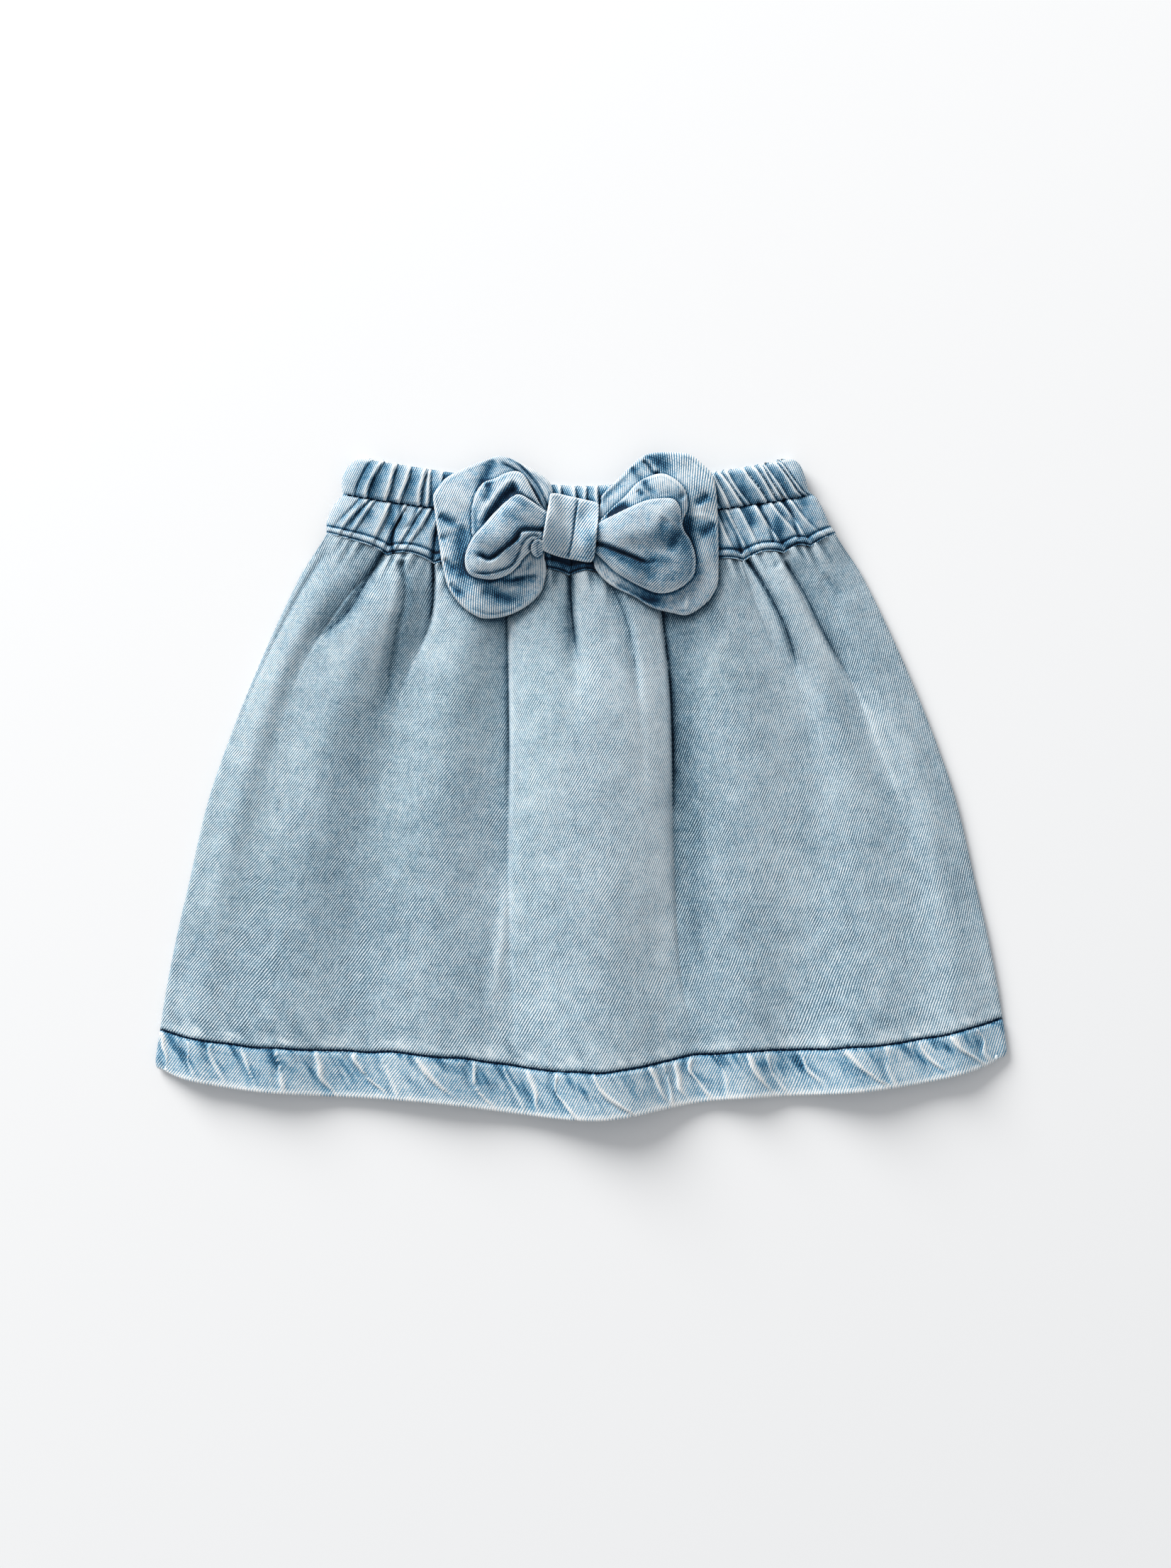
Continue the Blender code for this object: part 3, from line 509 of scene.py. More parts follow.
        ),
        "shade_and_dye": (
            (-33, 104, 18, 11, 45, 0.28), (-28, 115, 4, 2.4, 20, 0.25), (-43.5, 98.6, 3.4, 1.4, -10, 0.7),
            (-34, 98.6, 6, 1.6, 25, 0.6), (-27.4, 104.6, 3, 2, 60, 0.7), (-24.6, 119.4, 5, 1.4, -38, 0.5),
            (-41, 106, 5, 2, 50, 0.3),
        ),
        "pale_spots": (
            (-30, 108, 8, 3, 45, 0.1), (-36, 93.6, 8, 1.6, 12, 0.3), (-46.6, 95, 3, 1.4, 80, 0.25),
        ),
    },
    {
        "name": "inner_right_front", "layer": 2, "hub": (27, 102), "rim": 1.35, "puff": 5.0,
        "weave": (48, 0.15, 0.2),
        "outline": (
            (2, 108), (7.3, 112), (13.1, 114.9), (21, 118.6), (27.6, 121.2), (34.3, 122), (39, 121.6),
            (41.6, 118), (42.2, 113), (43.4, 108.6), (46, 104.7), (48, 99), (48.3, 93.5), (47.2, 89),
            (43.3, 85.1), (37.7, 82.4), (32.1, 82), (26.5, 84), (19.8, 87.4), (13.7, 91.3), (9.2, 95.7),
            (5, 99.6), (1, 102),
        ),
        "creases": (
            crease(
                2.6, 0.95, 0.9, (3, 104), (9, 102.4), (15, 100), (21, 97.6), (28.2, 94.8), (33, 96.4),
                fade=(0.02, 0.4),
            ),
            crease(
                0.8, 0.5, 0.2, (5, 101), (9.6, 95.9), (14.6, 91), (20.6, 87.9), (27, 85.3), (33, 83.8),
                fade=(0.05, 0.4),
            ),
            crease(0.7, 2.4, 0.2, (36, 113), (33, 108), (31.6, 103)),
            crease(1.0, 2.4, 0.3, (42, 109.6), (39, 104.6), (36, 98)),
            crease(0.8, 1.2, 0.2, (42.6, 114), (39.6, 110.6)),
        ),
        "shade_and_dye": (
            (28, 100, 22, 14, -20, 0.3), (31, 91.6, 11, 4, -16, 0.3), (44.6, 99, 4, 8, 0, 0.25),
            (35.5, 107, 5, 5, 0, 0.3), (40, 104.6, 6, 3.6, -20, 0.5), (32, 96.2, 6, 1.8, -12, 0.8),
            (21, 95.4, 9, 2.4, -30, 0.7), (37.7, 88.6, 5, 2.2, 20, 0.5), (44, 100, 3.4, 5, 0, 0.3),
            (12, 99, 5, 1.4, -22, 0.5), (30, 119.6, 6, 1.2, 12, 0.4), (28, 88, 5, 1.6, -25, 0.35),
        ),
        "pale_spots": (
            (20, 107, 10, 4, 28, 0.1), (38.6, 83.6, 6, 1, 8, 0.3), (18, 89, 9, 1, -35, 0.25),
            (37.6, 119, 3, 1.4, 0, 0.25),
        ),
    },
    {
        "name": "inner_left_curl", "layer": 3, "hub": (-18.8, 99.9), "rim": 0.7, "puff": 0.5,
        "weave": (35, 0.0, 0.0),
        "outline": (
            (-16, 103.6), (-17.8, 104.4), (-19.8, 103.4), (-21, 101.2), (-20.6, 98.8), (-19, 97.4),
            (-17, 97.9), (-15.8, 100.6),
        ),
        "creases": (
            crease(
                0.8, 0.4, 0.2, (-16.8, 105.2), (-18.2, 102.4), (-18.4, 99.6), (-17.4, 97), fade=(0.02, 0.02),
            ),
        ),
        "shade_and_dye": (
            (-19.4, 103, 2.6, 1.2, 70, 0.7), (-17, 100, 4, 1.2, 90, 0.7), (-19, 98, 3, 1.4, 0, 0.4),
        ),
        "pale_spots": (
            (-19.6, 100, 0.8, 2, 0, 0.1),
        ),
    },
    {
        "name": "knot", "layer": 3, "hub": (-4.5, 110.3), "rim": 1.0, "puff": 1.5, "weave": (53, 0.0, 0.0),
        "fine": 0.95,
        "outline": (
            (-12.9, 124.4), (-9.5, 124.6), (-4, 123.4), (2, 122.1), (6.2, 121), (7.6, 119.6), (7.4, 114),
            (6.8, 107), (6.1, 100), (5.3, 96.2), (3.6, 95.1), (-2, 96), (-8, 97.2), (-13.6, 98.9),
            (-16.4, 100.2), (-16.6, 102.6), (-15.8, 108), (-14.8, 114), (-13.9, 120), (-13.4, 123.2),
        ),
        "creases": (
            crease(1.3, 0.5, 0.6, (-1.0, 123.4), (-2.4, 115.6), (-3.6, 106), (-5.9, 95.8), fade=(0.01, 0.01)),
        ),
        "shade_and_dye": (
            (-12, 102, 3, 1.2, 0, 0.15), (-8, 98, 6, 0.8, -10, 0.25), (3.8, 107, 13, 3.6, 96, 0.55),
        ),
        "pale_spots": (
            (-10, 111, 7, 14, 0, 0.2),
        ),
    },
)
UNDER_BOW = -1
KNOT_MIDDLE = (-4.5, 110.3)
KNOT_PULL, KNOT_NEAR, KNOT_FAR = 0.65, 6.0, 24.0
CONTACT = 0.55
BAG_ROUNDS = (320, 220, 270, 170)
BAG_RINGS = (90, 66, 84, 58)
BAG_TOP_SHARE = 1.5
BAG_SHRINK = 0.98
BAG_EDGE = 0.88
BAG_FLATNESS, BAG_FULLNESS = 3.0, 0.6
BAG_CLOTH_SCALE = 1.14
BAG_SEAM_IN, BAG_SEAM_WIDTH = 1.9, 0.34
BOW_LEVEL = 8.2
BED_BRIDGE, BED_ROUNDS = (2, 2, 2, 1), (6, 6, 6, 4)

# Sewing.
THREAD, THREAD_UNEVEN = 0.9, (0.92, 1.08)
STITCH_PROUD = 0.35
STITCH_LENGTH, STITCH_STEP = 2.85, 3.05
CASING_STITCH_LENGTH, CASING_STITCH_STEP = 2.1, 2.5
BACK_FACE_Z = 0.28

# Weave.
TWILL_ANGLE = 60.0
TWILL_PITCH = 0.93
FLOAT_LENGTH, FLOAT_STEP = 1.15, 0.37
WEAVE_LEAN = 0.0011
WEAVE_BENDS = ((0.16, 0.35), (0.02, 4.0))
BAND_CLOTH_SPARE = 1.25
DARK_LINE_WIDTH = 0.42
WASH_REACH = 0.42
GLOSS_INPUTS = {
    "roughness": "Roughness",
    "specular": "Specular IOR Level",
    "sheen": "Sheen Weight",
    "sheen_roughness": "Sheen Roughness",
}

# The wash: from raw indigo in the deepest creases to bare white on the ridges.
WASH = (
    (0.0, (14, 34, 52)),
    (0.2, (44, 80, 104)),
    (0.4, (103, 138, 158)),
    (0.6, (161, 187, 202)),
    (0.8, (208, 225, 235)),
    (1.0, (241, 246, 249)),
)
# The same for the gathered and sewn parts, which are bluer in their hollows and more neutral on their ridges.
BOLD_WASH = (
    (0.0, (6, 30, 52)),
    (0.2, (16, 68, 104)),
    (0.4, (66, 127, 162)),
    (0.6, (140, 178, 200)),
    (0.8, (211, 221, 227)),
    (1.0, (250, 249, 247)),
)
NAVY_THREAD = ((0.3, (2, 12, 28)), (0.7, (9, 28, 52)))

# The studio.
LENS, SENSOR = 85, 36
CAMERA_PLACE = (0.0018, 0.00225, 1.568)
KEY_PLACE, KEY_SIZE, KEY_POWER, KEY_COLOUR = (-2.4, 3.3, 1.95), 3.0, 284.0, (1.0, 0.99, 0.97)
SKY_COLOUR, SKY_STRENGTH = (0.95, 0.965, 0.985, 1), 0.47
FLOOR_COLOUR, FLOOR_HALF = (0.93, 0.935, 0.945, 1), 3.0


def smooth(t):
    """An even S from 0 to 1 while t runs from 0 to 1."""
    t = np.clip(t, 0.0, 1.0)
    return t * t * (3 - 2 * t)


def bell(away, width):
    """1 on a line, falling off smoothly on both sides of it over a width."""
    return np.exp(-((away / width) ** 2))


def quarter_round(near):
    """How far a round edge has dropped: 0 from near = 1 on, and 1 at near = 0."""
    return 1 - np.sqrt(np.clip(1 - np.clip(1 - near, 0, 1) ** 2, 0, 1))


def scattered(number, start=0.0, step=GOLDEN_SHARE):
    """Evenly scattered shares from 0 to 1 for the numbers from 0 up."""
    return (number * step + start) % 1


def along(values, v, stations=STATIONS):
    """A smooth curve through values at their stations, read at every v."""
    values, stations = np.asarray(values, float), np.asarray(stations, float)
    last = len(stations) - 1
    before = np.maximum(np.arange(last + 1) - 1, 0)
    after = np.minimum(np.arange(last + 1) + 1, last)
    slopes = (values[after] - values[before]) / (stations[after] - stations[before])
    i = np.clip(np.searchsorted(stations, v, side="left") - 1, 0, last - 1)
    span = stations[i + 1] - stations[i]
    t = (v - stations[i]) / span
    return (
        (2 * t**3 - 3 * t**2 + 1) * values[i]
        + (t**3 - 2 * t**2 + t) * slopes[i] * span
        + (3 * t**2 - 2 * t**3) * values[i + 1]
        + (t**3 - t**2) * slopes[i + 1] * span
    )


def drift(x, y, size, seed):
    """Slow random waves over the plane, from -1 to 1: the chance unevenness of handled cloth.

    size is about their length in millimetres, and seed picks them.
    """
    chance = random.Random(seed)
    total = np.zeros(np.broadcast(x, y).shape)
    for _ in range(DRIFT_WAVES):
        heading, phase = chance.uniform(0, math.tau), chance.uniform(0, math.tau)
        pitch = size * chance.uniform(0.7, 1.5)
        total += np.sin(math.tau * (x * math.cos(heading) + y * math.sin(heading)) / pitch + phase)
    return total / DRIFT_WAVES * DRIFT_GAIN


def on_curve(before, start, stop, after, t):
    """A place on the smooth curve from start to stop, given the points before and after them."""
    return 0.5 * (
        2 * start + (stop - before) * t
        + (2 * before - 5 * start + 4 * stop - after) * t * t
        + (3 * start - before - 3 * stop + after) * t**3
    )


def rounded(route, parts=4):
    """The points of a route with more between them, on a smooth curve through them all."""
    route = np.asarray(route, float)
    run = np.concatenate([[2 * route[0] - route[1]], route, [2 * route[-1] - route[-2]]])
    points = [route[0]]
    for place in range(len(route) - 1):
        points += [on_curve(*run[place : place + 4], t) for t in np.arange(1, parts + 1) / parts]
    return np.array(points)


def lie(x, y, route):
    """How far each x, y is from a route, with a plus on its left, and its share of the way along it."""
    route = rounded(route)
    steps = np.linalg.norm(np.diff(route, axis=0), axis=1)
    starts = np.concatenate([[0.0], np.cumsum(steps)])
    nearest = np.full(np.shape(x), np.inf)
    signed = np.zeros(np.shape(x))
    share = np.zeros(np.shape(x))
    for (ax, ay), (bx, by), length, start in zip(route, route[1:], steps, starts):
        dx, dy = (bx - ax) / length, (by - ay) / length
        run = np.clip((x - ax) * dx + (y - ay) * dy, 0, length)
        away = np.hypot(x - ax - run * dx, y - ay - run * dy)
        side = (x - ax) * dy - (y - ay) * dx
        closer = away < nearest
        nearest = np.where(closer, away, nearest)
        signed = np.where(closer, np.where(side < 0, away, -away), signed)
        share = np.where(closer, (start + run) / starts[-1], share)
    return signed, share


def strength_along(share, crease):
    """How strong a crease is at each share of its length."""
    start_fade, end_fade = crease.get("fade", USUAL_FADE)
    return smooth(share / start_fade) * smooth((1 - share) / end_fade)


def press(x, y, crease):
    """How far a crease moves the cloth at x, y up or down."""
    signed, share = lie(x, y, crease["route"])
    width = crease["width"] * (1 + (crease.get("spread", 1.0) - 1) * share)
    line = bell(signed, width)
    bank = (1 - line) * bell(signed, BANK_REACH * width)
    bank = bank * np.where(signed > 0, crease["bank"], crease.get("far_bank", 0.0))
    return strength_along(share, crease) * (bank - crease["depth"] * line)


def shade(x, y, crease):
    """Painted shade of a crease's fold on both sides of a crease that runs down the front, and painted light
    where its strength is below zero.
    """
    signed, share = lie(x, y, crease["route"])
    grown = 1 + (crease.get("spread", 1.0) - 1) * share * 0.5
    blue = np.zeros(np.shape(x))
    for side, sign in (("east", 1), ("west", -1)):
        strength, reach = crease.get(side, (0.0, 1.0))
        beside = signed * sign
        onset = smooth((beside + SHADE_ONSET) / (2 * SHADE_ONSET))
        blue += strength * np.exp(-np.maximum(beside, 0) / (reach * grown)) * onset
    return blue * strength_along(share, crease)


def blot(x, y, patch):
    """A soft-edged, uneven patch: its middle, two half widths, its turn in degrees and its strength."""
    across, up, half_long, half_short, turn, strength = patch
    a = math.radians(turn)
    dx, dy = x - across, y - up
    along_it = dx * math.cos(a) + dy * math.sin(a)
    over_it = dy * math.cos(a) - dx * math.sin(a)
    away = (along_it / half_long) ** 2 + (over_it / half_short) ** 2
    own_seed = int(across * 7 + up * 3) % 97
    ragged = drift(x, y, half_short * 2.2 + 2, own_seed)
    return strength * np.exp(-away * (1 + 0.45 * ragged))


def blots(x, y, patches):
    return sum(blot(x, y, patch) for patch in patches)


class DarkLines:
    """Thin dark lines, painted shade in sharp creases and a dark line along stitches: how far each point is
    from the nearest one, to one side or the other, and how dark it is.

    The distance runs evenly over a mesh, so a material draws such a line finer than the mesh is.
    """

    near, gone, far = 1.6, 2.8, 9.0

    def __init__(self, x):
        self.line = np.full(np.shape(x), self.far)
        self.strength = np.zeros(np.shape(x))

    def add(self, signed, strength):
        closer = np.abs(signed) < np.abs(self.line)
        self.line = np.where(closer, signed, self.line)
        self.strength = np.where(closer, strength, self.strength)

    def values(self):
        fade = 1 - smooth((np.abs(self.line) - self.near) / (self.gone - self.near))
        return self.line, self.strength * fade


def half_width(v):
    """Half the laid skirt's width: its sides bow outwards on the way to the hem."""
    straight = HEM_HALF - SEAM_HALF + FLARE_BOW
    puff = SIDE_PUFF * smooth(v / PUFF_ONSET) * smooth((PUFF_END - v) / PUFF_FADE)
    return SEAM_HALF + straight * v - FLARE_BOW * v * v + puff


def pinch(x):
    """How strongly the seam is drawn in at x, from the fold lines that start there."""
    lines = [facts["x"][0] for facts in (*VALLEYS, *PINCHES)]
    return np.max([np.exp(-np.abs(x - line) / PINCH_REACH) for line in lines], axis=0)


def seam_y(u):
    """The seam under the band, at u from -1 at the left side to 1 at the right."""
    return SEAM_Y + SEAM_RISE * u * u - PINCH_DROP * pinch(u * SEAM_HALF)


def hem_depth(u):
    """The height of the stitched line over the edge; the ropes below pull it a little up and down."""
    wobble = HEM_WOBBLE * drift(u * HEM_HALF, 0.0, 15, 51)
    return HEM_DEPTH + HEM_MIDDLE_EXTRA - HEM_SIDE_LOSS * u * u + wobble


def hem_rise(u):
    """How far the hem's edge rises towards both sides."""
    left = HEM_RISE_LEFT * np.abs(u) ** HEM_RISE_LEFT_POWER
    return np.where(u < 0, left, HEM_RISE_RIGHT * np.abs(u) ** HEM_RISE_RIGHT_POWER)


def hem_y(u):
    """The hem's edge, which bulges down where the middle fold meets it."""
    x = u * HEM_HALF - HEM_BULGE_X
    return HEM_Y + hem_rise(u) - HEM_BULGE * bell(x, np.where(x < 0, HEM_BULGE_LEFT, HEM_BULGE_RIGHT))


def valley_facts(number, v, side):
    """The height and crispness of a valley, seen from its side; the outermost ones are the side seams."""
    if number < 0 or number >= len(VALLEYS):
        return SIDE_Z + (SIDE_TOP_Z - SIDE_Z) * smooth(1 - v / SIDE_SINK), np.full_like(v, SIDE_CRISP)
    facts = VALLEYS[number]
    return along(facts["z"], v), np.clip(along(facts[side], v), 0.0, 1.0)


def front_form(v, density=1):
    """The front's pipe folds, at rows v: x and z of every column."""
    edges = [-half_width(v)] + [along(facts["x"], v) for facts in VALLEYS] + [half_width(v)]
    x_parts, z_parts = [edges[0][:, None]], [valley_facts(-1, v, "right_crisp")[0][:, None]]
    for number, count in enumerate(PIPE_COLUMNS):
        left, right = edges[number][:, None], edges[number + 1][:, None]
        even = np.arange(1, round(count * density) + 1) / round(count * density)
        s = even * (1 - PIPE_EASE) + (1 - np.cos(math.pi * even)) / 2 * PIPE_EASE
        left_z, left_crisp = (part[:, None] for part in valley_facts(number - 1, v, "right_crisp"))
        right_z, right_crisp = (part[:, None] for part in valley_facts(number, v, "left_crisp"))
        blend = smooth(s)
        crisp = left_crisp + (right_crisp - left_crisp) * blend
        wave = np.clip(np.sin(math.pi * s), 0, 1)
        soft, steep = wave * wave, wave**CRISP_POWER
        rise = along(PIPE_RISE[number], v)[:, None]
        x_parts.append(left + (right - left) * s)
        z_parts.append(left_z + (right_z - left_z) * blend + rise * (soft + (steep - soft) * crisp))
    x, z = np.concatenate(x_parts, axis=1), np.concatenate(z_parts, axis=1)
    for facts in PINCHES:
        depth = np.maximum(along(facts["depth"], v), 0.0)[:, None]
        reach = np.maximum(along(facts["half"], v), 1.0)[:, None]
        z -= depth * np.exp(-np.abs(x - along(facts["x"], v)[:, None]) / reach)
    return x, z


def row_places(*stretches):
    """Places from 0 to 1 in stretches, each given as its end and its number of rows."""
    places, start = [0.0], 0.0
    for end, count in stretches:
        places += list(start + (end - start) * np.arange(1, count + 1) / count)
        start = end
    return np.array(places)


def gathered(x, gathers, share):
    """Small pleats: each climbs slowly to a narrow crest and drops at a dark line on its right.

    share runs from 0 at their tops to 1 at their feet. The results are relief, crests and hollows:
    hollows is the blue of each pleat's low side and painted shadow in the dark line of its ditch.
    """
    shape = np.broadcast(x, share).shape
    relief, crests, hollows = np.zeros(shape), np.zeros(shape), np.zeros(shape)
    lines = []
    for number, (top, foot, strength) in enumerate(gathers):
        sway = PLEAT_SWAY * np.sin(share * 5 + number * 2.1)
        lines.append((top + (foot - top) * share + sway + CREST_WIDTH, strength))
    for (left, _), (right, strength) in zip(lines, lines[1:]):
        gap = np.maximum(right - left, NARROWEST_PLEAT)
        inside = (x >= left) & (x < right)
        climb = smooth((x - left) / np.maximum(gap - CREST_WIDTH * 0.8, 0.6))
        to_line = right - x
        drop = smooth(to_line / PLEAT_DROP)
        lift = strength * PLEAT_RISE * np.clip(gap / USUAL_PLEAT, 0.55, 1.1)
        relief = np.where(inside, lift * (0.15 + 0.85 * climb**1.6) * drop, relief)
        crests = np.where(inside, strength * bell(to_line - CREST_INSET, CREST_GLOW), crests)
        hollows = np.where(inside, (1 - climb) ** 0.7, hollows)
    for line, strength in lines:
        relief -= strength * DITCH_DEPTH * bell(x - line, DITCH_WIDTH)
        hollows = np.maximum(hollows, 1.5 * bell(x - line, DITCH_WIDTH * 1.1))
    return relief, crests, hollows


def hem_ropes(x, from_hem):
    """The relief of the hem's slanted puckers: a crest with a hollow on its lower left.

    down runs from 0 at the stitches to 1 at the edge. Each pucker wanders, swells, starts and ends in its
    own way, by waves and shares that its number picks.
    """
    relief = np.zeros(x.shape)
    down = np.clip(1 - from_hem / HEM_DEPTH, -0.3, 1.1)
    for number, (top, foot, strength) in enumerate(HEM_ROPES):
        bend = 1.1 * np.sin(down * 4.2 + number * 1.7) + 0.9 * drift(x * 0.4 + number * 37, down * 18, 11, 41)
        away = x - (top + (foot - top) * (0.35 * down + 0.65 * down * np.abs(down)) + bend)
        first = 0.12 * scattered(number)
        last = 0.55 + 0.6 * scattered(number, step=1 - GOLDEN_SHARE)
        fade = smooth((down + 0.12 - first) / 0.2) * (1 - 0.75 * smooth((down - last) / 0.25))
        width = ROPE_WIDTH * (1.2 + 0.6 * np.sin(down * 6 + number * 2.3) + 0.4 * np.sin(number * 4.1))
        ridge = ROPE_HEIGHT * bell(away, width)
        hollow = ROPE_HOLLOW * bell(away + ROPE_HOLLOW_AWAY, ROPE_HOLLOW_WIDTH)
        relief += fade * strength * (ridge - hollow)
    return relief


def normals_of(points):
    """The cloth's normal at every point of a grid."""
    across = np.gradient(points, axis=1)
    down = np.gradient(points, axis=0)
    normals = np.cross(down, across)
    return normals / np.maximum(np.linalg.norm(normals, axis=2, keepdims=True), 1e-9)


def turned_in(count, reach, step):
    """The rows that turned-in cloth follows: every step-th one from the edge inwards, over reach rows."""
    return list(range(count - 2, count - reach, -step))


def fold_under(points, radius, inner_rows, facing=1):
    """The sheet with its last row turned under on a small radius, and the turned-in cloth below it."""
    normals = normals_of(points) * facing
    heading = points[-1] - points[-2]
    heading /= np.linalg.norm(heading, axis=1, keepdims=True)
    centre = points[-1] - normals[-1] * radius
    rows = [points]
    for angle in FOLD_ANGLES:
        a = math.radians(angle)
        rows.append((centre + radius * (math.cos(a) * heading + math.sin(a) * normals[-1]))[None])
    for row in inner_rows:
        rows.append((points[row] - normals[row] * 2 * radius)[None])
    return np.concatenate(rows, axis=0)


def lengthen(values, rows):
    """The same values for the turned-under rows, as their outer rows have them."""
    return np.concatenate([values, np.repeat(values[-1:], len(FOLD_ANGLES), axis=0), values[rows]], axis=0)


def lengthen_top(values, rows):
    """The same for a sheet whose first row is turned under."""
    return lengthen(values[::-1], rows)[::-1]


def roll_sides(points):
    """More columns at both side edges, which take the cloth round the fold and under."""
    left, right = [], []
    for angle in ROLL_ANGLES:
        a = math.radians(angle)
        out, down = SIDE_ROLL * math.sin(a), SIDE_ROLL * (1 - math.cos(a))
        left.insert(0, points[:, :1] + np.array([-out, 0, -down]))
        right.append(points[:, -1:] + np.array([out, 0, -down]))
    return np.concatenate([*left, points, *right], axis=1)


def spread(plan):
    """The cloth's own plane for the columns that roll_sides adds, carried on past both edges."""
    step = SIDE_ROLL * 0.55
    out = np.arange(1, len(ROLL_ANGLES) + 1)[None, :, None] * np.array([step, 0.0])
    return np.concatenate([plan[:, :1] - out[:, ::-1], plan, plan[:, -1:] + out], axis=1)


def widen(values):
    """The same values for the columns that roll_sides adds."""
    count = len(ROLL_ANGLES)
    left, right = np.repeat(values[:, :1], count, axis=1), np.repeat(values[:, -1:], count, axis=1)
    return np.concatenate([left, values, right], axis=1)


def cloth_plan(points, lean):
    """Each point's place in the flat cloth. lean turns the weave from left to right, as a flare does."""
    steps = np.linalg.norm(np.diff(points, axis=1), axis=2)
    plain = np.diff(points[:, :, 0], axis=1)
    spare = np.concatenate([np.zeros((len(points), 1)), np.cumsum(steps - np.abs(plain), axis=1)], axis=1)
    middle = points.shape[1] // 2
    x = points[:, :, 0] + (spare - spare[:, middle : middle + 1]) * np.sign(plain[0, 0])
    y = points[:, :, 1]
    if not lean:
        return np.stack([x, y], axis=2)
    grown = np.exp(lean * y)
    return np.stack([np.sin(lean * x) * grown, np.cos(lean * x) * grown], axis=2) / lean


def turned_plan(x, y, weave):
    """Each point's place in the flat cloth of a bag, whose weave turns as the table says."""
    angle, to_right, to_top = weave
    turn = math.radians(TWILL_ANGLE - angle)
    change = complex(-math.radians(to_top), -math.radians(to_right))
    z = x + 1j * y
    flat = np.exp(1j * turn) * ((np.exp(change * z) - 1) / change if change else z)
    return np.stack([flat.real, flat.imag], axis=-1)


def smoothed(values, rounds):
    """A grid of values after rounds of averaging with its neighbours."""
    for _ in range(rounds):
        padded = np.pad(values, 1, mode="edge")
        beside = padded[:-2, 1:-1] + padded[2:, 1:-1] + padded[1:-1, :-2] + padded[1:-1, 2:]
        values = (beside + 2 * values) / 6
    return values


def raised(values):
    """A grid of values, each raised to its highest neighbour."""
    padded = np.pad(values, 1, mode="edge")
    beside = [padded[:-2, 1:-1], padded[2:, 1:-1], padded[1:-1, :-2], padded[1:-1, 2:]]
    return np.max([values, *beside], axis=0)


def mesh_from(name, shape):
    mesh = bpy.data.meshes.new(name)
    shape.to_mesh(mesh)
    shape.free()
    return mesh


def placed(name, data):
    """A new object in the scene, at the origin."""
    piece = bpy.data.objects.new(name, data)
    bpy.context.scene.collection.objects.link(piece)
    return piece


def corners_of(mesh):
    flat = np.empty(len(mesh.vertices) * 3, dtype=np.float32)
    mesh.vertices.foreach_get("co", flat)
    return flat.reshape(-1, 3).astype(float)


def move_corners(mesh, points):
    mesh.vertices.foreach_set("co", (points * MM).astype(np.float32).ravel())


def put(piece, material, lining=None):
    """Gives a finished piece its materials and slot, and lets it ride with the skirt."""
    piece.data.materials.append(material)
    if lining:
        piece.data.materials.append(lining)
    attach(piece, ROOT)
    return piece


def dress(mesh, rows, columns, plan, layers):
    """Lays the cloth's own plane and its wash on a mesh, from grids with a value for every point."""
    corners = np.empty(len(mesh.loops), dtype=np.int32)
    mesh.loops.foreach_get("vertex_index", corners)
    uv = mesh.uv_layers.new(name="cloth")
    uv.data.foreach_set("uv", plan[rows, columns][corners].astype(np.float32).ravel())
    for name, values in layers.items():
        layer = mesh.attributes.new(name, "FLOAT", "POINT")
        layer.data.foreach_set("value", values[rows, columns].astype(np.float32))
    mesh.shade_smooth()
    mesh.update()


def sheet_mesh(name, points, plan, layers):
    """A sheet of cloth through a grid of points, with its thickness."""
    rows, columns = points.shape[0] - 1, points.shape[1] - 1
    shape = bmesh.new()
    bmesh.ops.create_grid(shape, x_segments=columns, y_segments=rows, size=1.0)
    mesh = mesh_from(name, shape)
    corners = corners_of(mesh)
    column = np.rint((corners[:, 0] + 1) / 2 * columns).astype(int)
    row = np.rint((1 - corners[:, 1]) / 2 * rows).astype(int)
    move_corners(mesh, points[row, column])
    dress(mesh, row, column, plan, layers)
    piece = placed(name, mesh)
    wall = piece.modifiers.new("cloth", "SOLIDIFY")
    wall.thickness = DENIM * MM
    wall.offset = -1
    wall.material_offset = 1
    return piece


class Ground:
    """The top of finished pieces, felt from straight above. Heights and places are in millimetres."""

    sky = 0.3

    def __init__(self, *pieces):
        self.trees = []
        for piece in pieces:
            mesh = piece.data
            corners = [vert.co.copy() for vert in mesh.vertices]
            self.trees.append(BVHTree.FromPolygons(corners, [tuple(face.vertices) for face in mesh.polygons]))

    def feel(self, x, y):
        """The highest point under x, y and its normal, or nothing."""
        best = None
        for tree in self.trees:
            spot, normal, _, _ = tree.ray_cast(Vector((x * MM, y * MM, self.sky)), Vector((0, 0, -1)))
            if spot and (best is None or spot.z > best[0].z):
                best = (spot, normal if normal.z > 0 else -normal)
        return best

    def heights(self, x, y, level):
        """The height under every x, y of two grids, and never under level."""
        found = np.full(x.shape, float(level))
        for place in np.ndindex(x.shape):
            spot = self.feel(x[place], y[place])
            if spot:
                found[place] = max(level, spot[0].z / MM)
        return found


